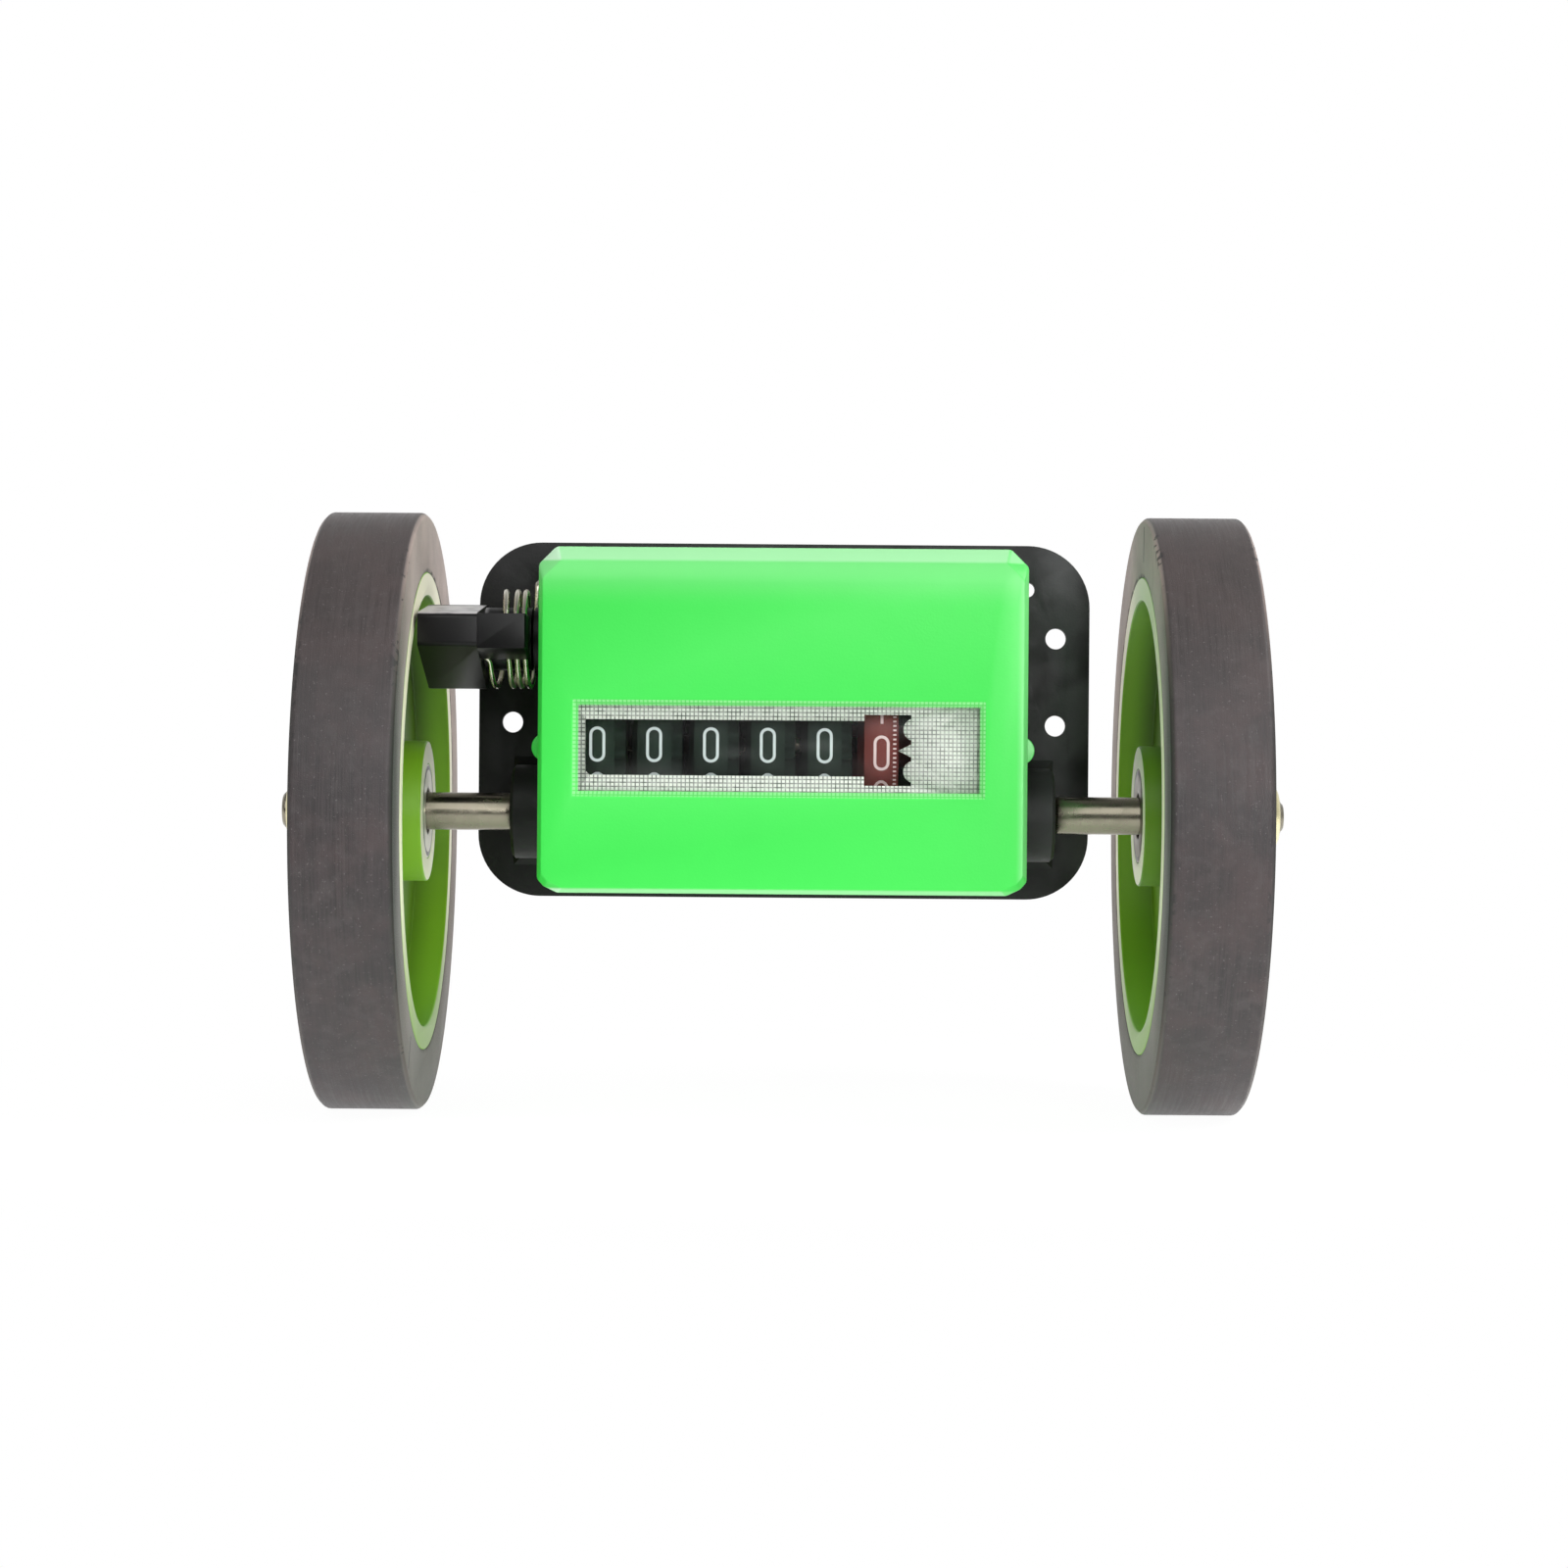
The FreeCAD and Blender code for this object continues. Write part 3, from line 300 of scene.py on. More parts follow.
def tyre_rubber(name, mark_angle, torn_angles):
    """Ground rubber: streaks round the tread, torn places at its edges and a seam on the side, with
    painted light on the tread's top and painted shade on the side's front and bottom.
    """
    shader = Shader(name, specular=0.6, sheen=0.22, sheen_rough=0.3)
    angle = shader.angle()
    radius = shader.radius()
    side = shader.between(shader.size(shader.facing_x), 0.55, 0.8)
    round_y = shader.times(shader.y, 70.0)
    round_z = shader.times(shader.z, 70.0)
    across = shader.times(shader.plus(shader.x, radius), 2600.0)
    streak = shader.noise(shader.join(across, round_y, round_z), 1.0, 4.0, 0.65)
    grain = shader.noise(shader.place, 5200.0, 2.0)
    cloud = shader.noise(shader.place, 110.0, 4.0, 0.6)
    blotch = shader.noise(shader.place, 420.0, 3.0, 0.6)
    tread = shader.mix(shader.between(streak, 0.3, 0.7), srgb(41, 36, 37), srgb(64, 57, 58))
    tread = shader.mix(shader.between(cloud, 0.4, 0.65, 0.0, 0.55), tread, srgb(76, 62, 62))
    tread = shader.mix(shader.between(blotch, 0.45, 0.7, 0.0, 0.35), tread, srgb(80, 74, 74))
    tread = shader.mix(shader.between(grain, 0.58, 0.76, 0.0, 0.5), tread, srgb(40, 36, 38))
    broad = shader.noise(shader.place, 34.0, 2.0)
    tread = shader.mix(shader.between(broad, 0.35, 0.65, 0.3, 0.0), tread, srgb(38, 35, 36))
    # Painted light: the tread is lighter towards the top, as if lit from above.
    painted_top_light = shader.between(shader.z, 0.0, tread_radius, 0.0, 0.4)
    tread = shader.mix(painted_top_light, tread, srgb(92, 84, 82))
    speck = shader.noise(shader.place, 2400.0, 2.0, 0.7)
    tread = shader.mix(shader.between(speck, 0.64, 0.72, 0.0, 0.45), tread, srgb(118, 112, 112))
    # Painted shade and light: the side is dark towards the front and the bottom and pale higher up, in
    # cloudy patches.
    side_painted_light = shader.between(shader.y, -tread_radius, -tread_radius * 0.45)
    side_top_light = shader.between(shader.z, -tread_radius, tread_radius * 0.6, 0.2, 1.0)
    side_painted_light = shader.times(side_painted_light, side_top_light)
    side_painted_light = shader.times(side_painted_light, shader.between(cloud, 0.3, 0.7, 0.75, 1.0))
    plain = shader.mix(side_painted_light, srgb(30, 28, 26), srgb(182, 163, 156))
    seat = shader.between(radius, rim_outer + 0.2 * mm, rim_outer + 0.8 * mm, 1.0, 0.0)
    stained = shader.times(seat, shader.between(blotch, 0.3, 0.6))
    plain = shader.mix(stained, plain, srgb(62, 50, 40))
    color = shader.mix(side, tread, plain)
    chip = shader.noise(shader.place, 700.0, 3.0)
    near_edge = shader.between(radius, tread_radius - 2.6 * mm, tread_radius - 0.2 * mm)
    torn = 0.0
    for centre in torn_angles:
        off = shader.gap(angle, math.radians(centre))
        torn = shader.most(torn, shader.between(off, 0.02, 0.14, 1.0, 0.0))
    least = shader.minus(0.64, shader.times(torn, 0.16))
    chipped = shader.between(shader.minus(chip, least), 0.0, 0.04)
    half = wheel_half_width
    at_corner = shader.between(shader.off_middle(), half - 1.4 * mm, half - 0.5 * mm)
    chipped = shader.times(chipped, near_edge, at_corner)
    color = shader.mix(shader.times(chipped, 0.85), color, srgb(40, 38, 38))
    off = shader.gap(angle, math.radians(mark_angle))
    seam = shader.between(shader.times(off, tread_radius), 0.3 * mm, 0.5 * mm, 1.0, 0.0)
    seam = shader.times(seam, shader.between(radius, 40.5 * mm, 41.0 * mm))
    seam = shader.times(seam, shader.between(radius, 46.2 * mm, 46.6 * mm, 1.0, 0.0))
    color = shader.mix(shader.times(seam, side), color, srgb(34, 32, 33))
    ground = shader.between(streak, 0.3, 0.7, 0.5, 0.68)
    shader.set(color=color, rough=shader.most(ground, shader.times(side, 0.85)))
    height = shader.minus(shader.plus(streak, shader.times(grain, 0.5)), shader.times(seam, 3.0))
    shader.bump(height, 0.05 * mm)
    return shader.material


def steel_insert(name, color, metal):
    """Turned steel with painted shade in a ring at its groove and round its bore."""
    shader = turned_metal(name, color, 0.36, 0.01 * mm)
    shader.set(metal=metal)
    radius = shader.radius()
    # Painted shade: a dark ring at the groove and darkening round the bore, where shade falls.
    off = shader.gap(radius, groove_radius)
    groove = shader.between(off, groove_half * 0.7, groove_half, 1.0, 0.0)
    bore_painted_shade = shader.between(radius, 3.5 * mm, 4.1 * mm, 1.0, 0.0)
    dark = shader.most(groove, bore_painted_shade)
    shader.set(color=shader.mix(dark, shader.color_so_far(), srgb(38, 36, 32)))
    return shader.material


def grid_cells(shader):
    """1 inside the squares of the mask's grid and 0 on the lines between them."""
    lines = []
    for place in (shader.x, shader.z):
        wave = shader.math("SINE", shader.times(place, 2 * math.pi / mask_pitch))
        lines.append(shader.between(wave, -0.95, -0.35, 0.0, 1.0))
    return shader.times(lines[0], lines[1])


def mask_silver(name):
    """Silvered sheet pressed with a fine square grid, with a painted glow along the window's edges that
    stands in for light.
    """
    shader = Shader(name, metal=0.1)
    cell = grid_cells(shader)
    cloud = shader.noise(shader.place, 900.0, 3.0)
    dark = shader.minus(1.0, cell)
    strip = shader.between(shader.x, grid_change_x, grid_change_x + 2 * mm, 1.0, 0.8)
    dark = shader.times(strip, shader.between(cloud, 0.3, 0.7, 0.55, 1.0), dark)
    color = shader.mix(dark, srgb(228, 232, 224), srgb(88, 96, 86))
    shader.set(color=color, rough=0.42)
    shader.bump(cell, 0.06 * mm)
    # Painted light: the sheet glows along the window's edges, where the recess would shade it.
    above = shader.minus(window_top, shader.z)
    below = shader.minus(shader.z, window_bottom)
    beside = shader.minus(window_reach, shader.size(shader.x))
    edge = shader.least(shader.least(above, below), beside)
    shader.set(glow_color=srgb(226, 238, 224), glow=shader.between(edge, 0.0, mask_glow_width, 0.2, 0.0))
    return shader.material


def clear_plastic(name):
    """Thin clear window that mirrors a little and lets the rest through."""
    shader = Shader(name, color=(1, 1, 1, 1), rough=0.04)
    clear = shader.node("BsdfTransparent")
    ripple = shader.noise(shader.place, 60.0, 1.0)
    gloss = shader.node("BsdfGlossy")
    shader.put(gloss.inputs["Roughness"], 0.3)
    weight = shader.between(ripple, 0.2, 0.8, 0.006, 0.01)
    joined = shader.node("MixShader", weight)
    shader.tree.links.new(clear.outputs[0], joined.inputs[1])
    shader.tree.links.new(gloss.outputs[0], joined.inputs[2])
    shader.tree.links.new(joined.outputs[0], shader.output.inputs["Surface"])
    return shader.material


def shaft_steel(name):
    """Ground steel with fine lines round the shaft."""
    return turned_metal(name, srgb(150, 144, 128), 0.27, 0.002 * mm).material


def wheel_green(name):
    """Yellow-green moulding with painted shade in its dishes, whose outermost flat rings are turned and
    paler, with painted light making them palest at the top.
    """
    shader = moulded(name, srgb(132, 186, 42), 0.42, 0.015 * mm)
    shader.set(specular=0.3)
    outmost = shader.off_middle()
    half = wheel_half_width
    flat = shader.between(shader.size(shader.facing_x), 0.85, 0.95)
    turned = shader.times(flat, shader.between(outmost, half - 0.5 * mm, half - 0.2 * mm))
    # Painted shade: the dishes darken inwards, less towards the bottom, and the right hub's round side
    # is darker while the left one's is lighter.
    dish_painted_shade = shader.between(outmost, 1.0 * mm, half - 1.0 * mm, 1.0, 0.0)
    low_shade_share = shader.between(shader.x, -wheel_middle, wheel_middle, 0.45, 0.12)
    share = shader.between(shader.z, -rim_outer, rim_outer * 0.4, low_shade_share, 0.9)
    dish_painted_shade = shader.times(dish_painted_shade, share)
    round_hub = shader.between(shader.radius(), hub_radius + 0.3 * mm, hub_radius + 0.8 * mm, 1.0, 0.0)
    hub_shade = shader.between(shader.x, -wheel_middle, wheel_middle, -0.3, 0.5)
    dish_painted_shade = shader.most(shader.plus(dish_painted_shade, shader.times(round_hub, hub_shade)), 0.0)
    base = shader.mix(dish_painted_shade, shader.color_so_far(), srgb(52, 72, 24))
    # Painted light and shade: the turned rings have their own pale colour, made paler towards the top
    # and darker and browner towards the bottom.
    ring_pale_and_lit_share = shader.between(shader.z, -rim_outer, 0.0, 0.45, 0.92)
    ring_top_light = shader.between(shader.z, -rim_outer, -rim_outer * 0.2)
    pale = shader.mix(ring_top_light, srgb(126, 118, 92), srgb(252, 244, 220))
    shader.set(color=shader.mix(shader.times(turned, ring_pale_and_lit_share), base, pale))
    return shader.material


def cover_green(name):
    """Bright green moulding: its front bends softly into the upper bevel, the bevels carry painted
    highlights, and the window's slopes carry a painted reflection of the mask's grid and a faint painted
    glow."""
    shader = moulded(name, srgb(60, 226, 80), 0.38, 0.012 * mm, coat=0.1, spread=0.03)
    skin = shader.surface.inputs["Normal"].links[0].from_node
    over = shader.most(shader.minus(shader.z, cover_bend_start), 0.0)
    over = shader.least(over, cover_bend_end - cover_bend_start)
    bend = shader.times(shader.times(over, over), -0.5 / cover_bend_radius)
    curve = shader.node("Bump")
    shader.put(curve.inputs["Distance"], 1.0)
    shader.put(curve.inputs["Height"], bend)
    shader.put(skin.inputs["Normal"], curve.outputs[0])
    color = shader.color_so_far()
    # Painted highlights: the front pales towards the upper bend, and the upper, lower and right bevels
    # and the corner facets are paler, the left corners most.
    pale = shader.between(shader.z, cover_bend_start - 4.0 * mm, cover_bend_end, 0.0, 0.2)
    upper = (cover_bend_end - 0.2 * mm, cover_bend_end + 0.4 * mm)
    pale = shader.plus(pale, shader.between(shader.z, *upper, 0.0, 0.42))
    lower = (cover_low_bevel - 0.3 * mm, cover_low_bevel + 0.1 * mm)
    pale = shader.most(pale, shader.between(shader.z, *lower, 0.5, 0.0))
    right = (cover_side_bevel - 1.2 * mm, cover_side_bevel + 0.2 * mm)
    pale = shader.most(pale, shader.between(shader.x, *right, 0.0, 0.28))
    frontal = shader.between(shader.facing_y, -0.4, -0.2, 1.0, 0.0)
    corner_highlight_share = shader.between(shader.x, -cover_side_bevel, cover_side_bevel, 1.8, 0.45)
    slant = shader.times(shader.size(shader.facing_x), shader.size(shader.facing_z))
    corner = shader.between(slant, 0.02, 0.1, 1.0, corner_highlight_share)
    pale = shader.times(pale, frontal, corner)
    sloping = shader.between(shader.size(shader.facing_y), 0.8, 0.95, 1.0, 0.0)
    inside = shader.between(shader.z, window_top, window_top + 0.3 * mm, 1.0, 0.0)
    inside = shader.times(inside, shader.between(shader.z, window_bottom - 0.3 * mm, window_bottom))
    beside = shader.between(shader.size(shader.x), window_reach, window_reach + 0.3 * mm, 1.0, 0.0)
    inside = shader.times(inside, beside)
    color = shader.mix(pale, color, srgb(200, 244, 204))
    # Painted reflection and glow: the window's slopes take a pale copy of the mask's grid and glow
    # faintly, standing in for light through the green plastic.
    mirrored = shader.mix(grid_cells(shader), srgb(112, 200, 112), srgb(236, 252, 230))
    slope = shader.times(sloping, inside)
    color = shader.mix(shader.times(slope, 0.3), color, mirrored)
    shader.set(color=color, glow_color=srgb(150, 236, 150), glow=shader.times(slope, 0.1))
    return shader.material


def rubbed_black(name):
    """Black moulding with a soft shine, faint rubbed places in its roughness, and painted sheen in pale
    patches towards the right.
    """
    shader = moulded(name, srgb(17, 17, 18), 0.4, 0.02 * mm, spread=0.3)
    shader.set(specular=0.32)
    rubbed = shader.noise(shader.place, 220.0, 4.0, 0.7)
    # Painted sheen: pale cloudy patches, faint on the left and much stronger on the plate's right side.
    sheen_patches = shader.between(shader.noise(shader.place, 75.0, 2.0), 0.42, 0.62)
    share = shader.between(shader.x, plate_sheen_x, plate_sheen_x + 8.0 * mm, 0.05, 0.52)
    color = shader.mix(shader.times(sheen_patches, share), shader.color_so_far(), srgb(80, 80, 82))
    shader.set(color=color, rough=shader.between(rubbed, 0.35, 0.7, 0.42, 0.56))
    return shader.material


def lever_plastic(name):
    """Smooth black plastic with a painted highlight, pale and cloudy, on the top of the thumb piece."""
    shader = moulded(name, srgb(9, 9, 10), 0.36, 0.006 * mm, spread=0.2)
    shader.set(specular=0.28)
    # Painted highlight: the thumb piece's top face is painted near white in cloudy patches, standing in
    # for the top light's reflection.
    upward = shader.between(shader.facing_z, 0.6, 0.9)
    forward = shader.between(shader.y, finger_root, finger_root + 3.0 * mm, 1.0, 0.0)
    leftward = shader.between(shader.x, finger_end - 1.0 * mm, finger_end, 1.0, 0.0)
    top_highlight = shader.times(upward, forward, leftward)
    highlight_cloud = shader.noise(shader.place, 320.0, 3.0)
    top_highlight = shader.times(top_highlight, shader.between(highlight_cloud, 0.3, 0.6, 0.55, 1.0))
    shader.set(color=shader.mix(top_highlight, shader.color_so_far(), srgb(206, 203, 205)))
    return shader.material


def drum_plastic(name, color):
    """Matt plastic of the number wheels."""
    shader = moulded(name, color, 0.7, 0.02 * mm, spread=0.2)
    shader.set(specular=0.1)
    return shader.material


black = rubbed_black("frame_black")
green = cover_green("cover_green")
wheel_plastic = wheel_green("wheel_green")
steel = shaft_steel("shaft_steel")
brass = turned_metal("collar_brass", srgb(255, 246, 196), 0.26, 0.006 * mm).material
bronze = turned_metal("bush_bronze", srgb(176, 136, 84), 0.4, 0.01 * mm).material
# Painted light and shade: the same steel insert is a lit, pale copy on the left wheel and a shaded, dark
# copy on the right.
insert_left = steel_insert("insert_left", srgb(232, 228, 212), 0.5)
insert_right = steel_insert("insert_right", srgb(126, 114, 96), 0.9)
rubber_left = tyre_rubber("rubber_left", -122.0, (153.0, -150.0))
rubber_right = tyre_rubber("rubber_right", 97.0, (121.0, -165.0))
silver = mask_silver("mask_silver")
window = clear_plastic("window_clear")
lever_black = lever_plastic("lever_black")
ivory = moulded("gear_ivory", srgb(226, 220, 200), 0.5, 0.02 * mm).material
drum_black = drum_plastic("drum_black", srgb(38, 50, 43))
drum_red = drum_plastic("drum_red", srgb(122, 66, 62))
digit_white = moulded("digit_white", srgb(200, 212, 211), 0.5, 0.01 * mm).material
digit_pink = moulded("digit_pink", srgb(220, 198, 196), 0.5, 0.01 * mm).material
spring_wire = turned_metal("spring_wire", srgb(244, 240, 222), 0.26, 0.004 * mm).material

looks = {
    "base_frame": black, "cover": green, "window_lens": window, "digit_mask": silver,
    "shaft_bush_left": bronze, "shaft_bush_right": bronze, "number_axle": steel, "carry_axle": steel,
    "idler_axle": steel, "axle_spacer": steel, "input_shaft": steel, "shaft_sleeve": steel,
    "wheel_left": wheel_plastic, "wheel_right": wheel_plastic, "tyre_left": rubber_left,
    "tyre_right": rubber_right, "hub_insert_left": insert_left, "hub_insert_right": insert_right,
    "collar_left": brass, "collar_right": brass, "input_gear": ivory, "idler_gear": ivory,
    "drum_gear": ivory, "reset_shaft": steel, "reset_clip": steel, "reset_comb": ivory,
    "reset_lever": lever_black, "reset_spring": spring_wire, "number_wheel_1": drum_red,
}
for number in range(2, wheel_count + 1):
    looks["number_wheel_" + str(number)] = drum_black
for number in range(1, wheel_count):
    looks["carry_pinion_" + str(number)] = ivory

# Edge rounding of the carried pieces: width and the least angle that is rounded
rounded_edges = {
    "cover": (0.22, 25), "base_frame": (0.25, 40), "reset_lever": (0.14, 30), "wheel_left": (0.3, 40),
    "wheel_right": (0.3, 40), "tyre_left": (0.25, 30), "tyre_right": (0.25, 30),
    "collar_left": (0.7, 30), "collar_right": (0.7, 30), "input_shaft": (0.12, 30),
    "shaft_sleeve": (0.1, 30), "hub_insert_left": (0.15, 40), "hub_insert_right": (0.15, 40),
}


def smooth_by_angle(mesh, degrees):
    mesh.polygons.foreach_set("use_smooth", [True] * len(mesh.polygons))
    mesh.set_sharp_from_angle(angle=math.radians(degrees))


def dress(name):
    """Gives a carried piece its material, smooth shading and rounded edges."""
    piece = nodes[name]
    piece.data.materials.clear()
    piece.data.materials.append(looks[name])
    weld = piece.modifiers.new("weld", "WELD")
    weld.merge_threshold = 0.001 * mm
    if name in rounded_edges:
        width, least = rounded_edges[name]
        flatten = piece.modifiers.new("flatten", "DECIMATE")
        flatten.decimate_type = "DISSOLVE"
        flatten.angle_limit = math.radians(0.2)
        bevel = piece.modifiers.new("bevel", "BEVEL")
        bevel.limit_method = "ANGLE"
        bevel.angle_limit = math.radians(least)
        bevel.width = width * mm
        bevel.segments = 3
        bevel.use_clamp_overlap = True
        bevel.harden_normals = False
    smooth_by_angle(piece.data, 30)


for name in nodes:
    dress(name)


def add_mesh(name, points, faces, material, body):
    mesh = bpy.data.meshes.new(name)
    mesh.from_pydata(points, [], faces)
    mesh.update()
    piece = bpy.data.objects.new(name, mesh)
    bpy.context.scene.collection.objects.link(piece)
    mesh.materials.append(material)
    smooth_by_angle(mesh, 35)
    if body:
        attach(piece, body)
    return piece


# Digits, laid round each number wheel as raised strokes

def arc(centre, reach, start, end, steps=14):
    """Points on part of an ellipse, angles in degrees."""
    points = []
    for step in range(steps + 1):
        turn = math.radians(start + (end - start) * step / steps)
        points.append((centre[0] + reach[0] * math.cos(turn), centre[1] + reach[1] * math.sin(turn)))
    return points


def digit_lines(digit):
    """Centre lines of a digit, each with whether it is closed, in half widths and half heights."""
    round_height = digit_half_width / digit_half_height
    top = 1 - round_height
    if digit == 0:
        ring = arc((0, top), (1, round_height), 0, 180) + arc((0, -top), (1, round_height), 180, 360)
        return [(ring, True)]
    if digit == 1:
        return [([(-0.6, 0.68), (0.05, 1.0), (0.05, -1.0)], False)]
    if digit == 2:
        return [(arc((0, top), (1, round_height), 165, -20) + [(-1, -1), (1, -1)], False)]
    if digit == 3:
        return [(arc((0, 0.52), (0.92, 0.48), 150, -90) + arc((0, -0.48), (1, 0.52), 90, -150), False)]
    if digit == 4:
        return [([(0.45, -1), (0.45, 1), (-1, -0.4), (1, -0.4)], False)]
    if digit == 5:
        return [([(0.85, 1), (-0.85, 1), (-0.92, 0.18)] + arc((0, -0.36), (1, 0.64), 125, -150), False)]
    if digit == 6:
        tail = [(-1, -top), (-1, 0.3)] + arc((0, top), (1, round_height), 180, 30)
        return [(arc((0, -0.42), (1, 0.58), 0, 360), True), (tail, False)]
    if digit == 7:
        return [([(-1, 1), (1, 1), (-0.25, -1)], False)]
    if digit == 8:
        return [(arc((0, 0.52), (0.88, 0.48), 0, 360), True), (arc((0, -0.48), (1, 0.52), 0, 360), True)]
    tail = [(1, 0.42), (1, -0.3)] + arc((0, -top), (1, round_height), 0, -150)
    return [(arc((0, 0.42), (1, 0.58), 0, 360), True), (tail, False)]


def without_doubles(points, closed):
    kept = [points[0]]
    for here in points[1:]:
        if math.dist(here, kept[-1]) > 0.01 * mm:
            kept.append(here)
    if closed and math.dist(kept[0], kept[-1]) < 0.01 * mm:
        kept.pop()
    return kept


def add_stroke(points, faces, line, closed, centre_x, front_angle, half_stroke):
    """Adds a raised stroke along a flat line, wrapped on the number wheel's drum."""
    line = without_doubles(line, closed)
    count = len(line)
    base = len(points)
    for index, here in enumerate(line):
        before = line[index - 1] if closed or index > 0 else None
        after = line[(index + 1) % count] if closed or index < count - 1 else None
        first = Vector(here) - Vector(before) if before else Vector(after) - Vector(here)
        second = Vector(after) - Vector(here) if after else first
        first.normalize()
        second.normalize()
        along = (first + second).normalized()
        across = Vector((-along.y, along.x))
        widen = min(1.6, 1 / max(0.4, across.dot(Vector((-first.y, first.x)))))
        for side in (-1, 1):
            flat = Vector(here) + across * (side * half_stroke * widen)
            turn = math.radians(front_angle) - flat.y / drum_radius
            for height in (-digit_sink, digit_height):
                reach = drum_radius + height
                y = number_axis[0] + reach * math.cos(turn)
                points.append((centre_x + flat.x, y, number_axis[1] + reach * math.sin(turn)))
    last = count if closed else count - 1
    for index in range(last):
        a = base + 4 * index
        b = base + 4 * ((index + 1) % count)
        faces.append((a + 1, b + 1, b + 3, a + 3))
        faces.append((a, b, b + 1, a + 1))
        faces.append((a + 2, a + 3, b + 3, b + 2))
    if not closed:
        end = base + 4 * (count - 1)
        faces.append((base, base + 1, base + 3, base + 2))
        faces.append((end, end + 2, end + 3, end + 1))


def refined(line, closed, longest=0.4 * mm):
    """The same line with long stretches split, so that it follows the drum."""
    result = []
    count = len(line)
    for index in range(count if closed else count - 1):
        here = line[index]
        after = line[(index + 1) % count]
        parts = max(1, math.ceil(math.dist(here, after) / longest))
        for part in range(parts):
            share = part / parts
            x = here[0] + (after[0] - here[0]) * share
            result.append((x, here[1] + (after[1] - here[1]) * share))
    if not closed:
        result.append(line[-1])
    return result


def number_digits(index):
    """All ten digits of one number wheel, one above the next."""
    points = []
    faces = []
    centre_x = first_wheel_x - wheel_pitch * index
    advance = last_wheel_advance if index == 0 else 0
    for digit in range(10):
        front = 180 + advance - digit_step * digit
        for line, closed in digit_lines(digit):
            scaled = [(x * digit_half_width, y * digit_half_height) for x, y in line]
            add_stroke(points, faces, refined(scaled, closed), closed, centre_x, front, digit_stroke / 2)
    material = digit_pink if index == 0 else digit_white
    add_mesh("digits_" + str(index + 1), points, faces, material, "digit_" + str(index + 1))


for index in range(wheel_count):
    number_digits(index)


def tick_scale():
    """Short marks round the right edge of the last number wheel."""
    points = []
    faces = []
    half = tick_length / 2
    for tick in range(tick_count):
        front = 180 + last_wheel_advance + 360 * tick / tick_count
        add_stroke(points, faces, [(-half, 0), (half, 0)], False, tick_x, front, tick_width / 2)
    add_mesh("tick_scale", points, faces, digit_pink, "digit_1")


tick_scale()


# Reset spring of round wire

def around(axis, radius, degrees, x):
    turn = math.radians(degrees)
    return Vector((x, axis[0] + radius * math.cos(turn), axis[1] + radius * math.sin(turn)))


def coil_height(turn):
    return min(turn, 1) * coil_wide_pitch + max(turn - 1, 0) * coil_pitch


def bend(start, corner, end, steps=8):
    """Points on a smooth bend from start to end with its corner between them."""
    shares = [step / steps for step in range(1, steps + 1)]
    return [start.lerp(corner, share).lerp(corner.lerp(end, share), share) for share in shares]


def spring_line():
    """Centre line of the wire: leg in the lever, turns about the reset shaft, leg through the plate."""
    total = coil_turns + 1 - coil_start_angle / 360
    start_x = coil_end_x - coil_height(total)
    steps = 220
    helix = []
    for step in range(steps + 1):
        turn = total * step / steps
        x = start_x + coil_height(turn)
        helix.append(around(reset_axis, coil_radius, coil_start_angle + 360 * turn, x))
    first_way = (helix[1] - helix[0]).normalized()
    leg_corner = helix[0] - first_way * coil_bend
    leg_start = Vector((coil_leg_x, leg_corner.y, leg_corner.z))
    leg_end = leg_corner - Vector((coil_bend, 0, 0))
    line = [leg_start, leg_start.lerp(leg_end, 0.5), leg_end]
    line += bend(leg_end, leg_corner, helix[0]) + helix[1:]
    last_way = (helix[-1] - helix[-2]).normalized()
    foot = helix[-1] + last_way * coil_bend
    top = Vector((hole_x, foot.y, hole_height - coil_bend))
    line += bend(foot, Vector((foot.x, foot.y, foot.z + coil_bend)), top)
    corner = Vector((top.x, top.y, hole_height))
    back = corner + Vector((0, coil_bend, 0))
    line += bend(top, corner, back)
    line += [Vector((back.x, plate_back_y, back.z))]
    return line


def wire_mesh(name, line, radius, material, sides=14):
    """Round wire swept along a line, with closed ends."""
    points = []
    faces = []
    frame_side = None
    count = len(line)
    for index, here in enumerate(line):
        before = line[max(index - 1, 0)]
        after = line[min(index + 1, count - 1)]
        along = (after - before).normalized()
        if frame_side is None:
            frame_side = along.orthogonal().normalized()
        frame_side = (frame_side - along * frame_side.dot(along)).normalized()
        other = along.cross(frame_side)
        for step in range(sides):
            turn = 2 * math.pi * step / sides
            points.append(here + (frame_side * math.cos(turn) + other * math.sin(turn)) * radius)
    for index in range(count - 1):
        for step in range(sides):
            following = (step + 1) % sides
            a = index * sides
            b = a + sides
            faces.append((a + step, a + following, b + following, b + step))
    faces.append(tuple(reversed(range(sides))))
    faces.append(tuple(range((count - 1) * sides, count * sides)))
    return add_mesh(name, points, faces, material, None)


spring = wire_mesh("spring_coil", spring_line(), wire_radius, spring_wire)
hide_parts("reset_spring")
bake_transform(spring)


# Stage, lights and camera

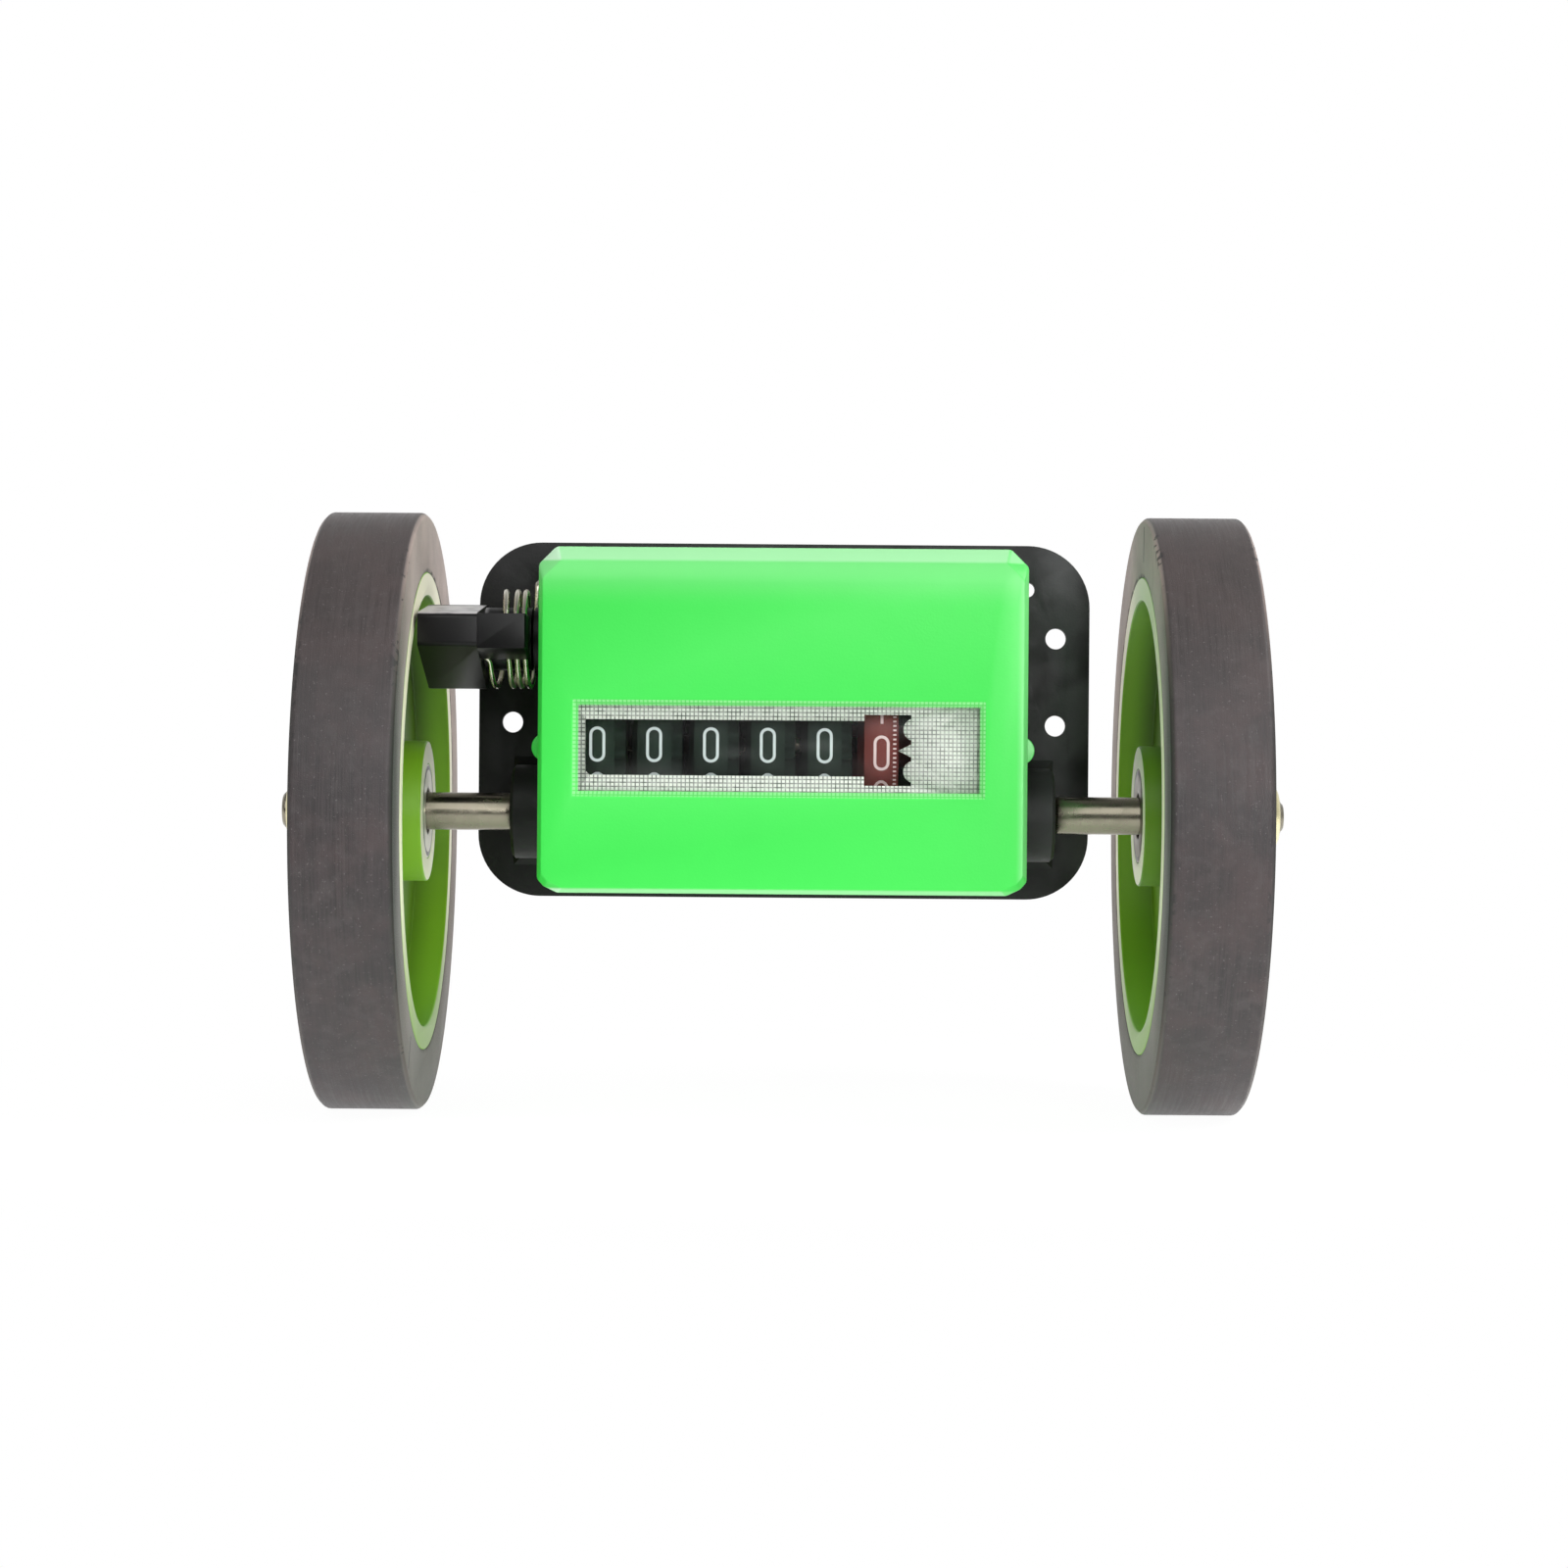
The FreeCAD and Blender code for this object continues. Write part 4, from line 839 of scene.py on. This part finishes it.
def add_floor():
    """Pale floor that keeps a faint shadow near the part and is pure white further off."""
    low_z = box_low.z
    corners = ((-1, -1), (1, -1), (1, 1), (-1, 1))
    points = [(x * floor_reach, y * floor_reach, low_z) for x, y in corners]
    shader = Shader("floor_white", color=(0.86, 0.86, 0.86, 1), rough=0.8, glow_color=(1, 1, 1, 1))
    seen = shader.node("LightPath").outputs["Is Camera Ray"]
    mirrored = shader.node("LightPath").outputs["Is Glossy Ray"]
    sheet = shader.between(shader.y, -sheet_reach, -sheet_reach * 0.5)
    strength = shader.between(mirrored, 0.0, 1.0, floor_glow, floor_glow * 1.1)
    shader.set(color=shader.mix(sheet, srgb(60, 60, 60), srgb(238, 238, 238)))
    shader.set(glow=shader.times(sheet, strength))
    white = shader.node("Emission", (1, 1, 1, 1), 1.0)
    whiten = shader.between(shader.radius_flat(), 0.08, 0.16, 0.92, 1.0)
    joined = shader.node("MixShader", shader.times(seen, whiten))
    shader.tree.links.new(shader.surface.outputs[0], joined.inputs[1])
    shader.tree.links.new(white.outputs[0], joined.inputs[2])
    shader.tree.links.new(joined.outputs[0], shader.output.inputs["Surface"])
    floor = add_mesh("floor", points, [(0, 1, 2, 3)], shader.material, None)


def add_light(name, place, size, power):
    lamp = bpy.data.lights.new(name, "AREA")
    lamp.shape = "RECTANGLE"
    lamp.size, lamp.size_y = size
    lamp.energy = power
    made = bpy.data.objects.new(name, lamp)
    bpy.context.scene.collection.objects.link(made)
    made.location = place
    made.rotation_mode = "QUATERNION"
    made.rotation_quaternion = (-Vector(place)).to_track_quat("-Z", "Y")


def add_world():
    """Bright backdrop behind the part, a dimmer room before it, and plain white for the camera."""
    world = bpy.data.worlds.new("studio")
    bpy.context.scene.world = world
    world.use_nodes = True
    tree = world.node_tree
    tree.nodes.clear()
    output = tree.nodes.new("ShaderNodeOutputWorld")
    light = tree.nodes.new("ShaderNodeBackground")
    plain = tree.nodes.new("ShaderNodeBackground")
    plain.inputs["Color"].default_value = (1, 1, 1, 1)
    coordinates = tree.nodes.new("ShaderNodeTexCoord")
    split = tree.nodes.new("ShaderNodeSeparateXYZ")
    tree.links.new(coordinates.outputs["Generated"], split.inputs[0])
    strength = tree.nodes.new("ShaderNodeMath")
    strength.operation = "MULTIPLY"
    ramps = (("Y", (-0.5, 0.6, room_light, backdrop_light)), ("Z", (0.3, 0.9, 1.0, zenith_share)))
    for index, (axis, limits) in enumerate(ramps):
        ramp = tree.nodes.new("ShaderNodeMapRange")
        tree.links.new(split.outputs[axis], ramp.inputs["Value"])
        for key, value in zip(("From Min", "From Max", "To Min", "To Max"), limits):
            ramp.inputs[key].default_value = value
        tree.links.new(ramp.outputs[0], strength.inputs[index])
    tree.links.new(strength.outputs[0], light.inputs["Strength"])
    path = tree.nodes.new("ShaderNodeLightPath")
    joined = tree.nodes.new("ShaderNodeMixShader")
    tree.links.new(path.outputs["Is Camera Ray"], joined.inputs[0])
    tree.links.new(light.outputs[0], joined.inputs[1])
    tree.links.new(plain.outputs[0], joined.inputs[2])
    tree.links.new(joined.outputs[0], output.inputs["Surface"])


def add_camera():
    """Camera at the photograph's place, turned by its measured yaw, pitch and roll."""
    lens = bpy.data.cameras.new("camera")
    lens.sensor_width = sensor_width
    lens.lens = focal_pixels / image_pixels * sensor_width
    lens.clip_start = 0.01
    lens.clip_end = 20.0
    camera = bpy.data.objects.new("camera", lens)
    bpy.context.scene.collection.objects.link(camera)
    yaw, pitch, roll = (math.radians(value) for value in (camera_yaw, camera_pitch, camera_roll))
    cos, sin = math.cos, math.sin
    turn_yaw = Matrix(((cos(yaw), 0, -sin(yaw)), (0, 1, 0), (sin(yaw), 0, cos(yaw))))
    turn_pitch = Matrix(((1, 0, 0), (0, cos(pitch), sin(pitch)), (0, -sin(pitch), cos(pitch))))
    turn_roll = Matrix(((cos(roll), sin(roll), 0), (-sin(roll), cos(roll), 0), (0, 0, 1)))
    turn = turn_roll @ turn_pitch @ turn_yaw
    axes = [Vector((row[0], -row[2], row[1])) for row in turn]
    camera.matrix_world = Matrix((
        (axes[0].x, axes[1].x, axes[2].x, camera_place[0]),
        (axes[0].y, axes[1].y, axes[2].y, camera_place[1]),
        (axes[0].z, axes[1].z, axes[2].z, camera_place[2]),
        (0, 0, 0, 1),
    ))
    bpy.context.scene.camera = camera


add_floor()
add_light("key", (0.72, -0.3, 0.65), (0.4, 0.5), 4.5)
add_light("sheen", (0.36, -0.98, 0.14), (0.35, 0.35), 3.8)
add_light("front", (-0.2, -0.84, 0.54), (1.2, 0.75), 5.0)
add_world()
add_camera()
bpy.context.scene.view_settings.view_transform = "Standard"
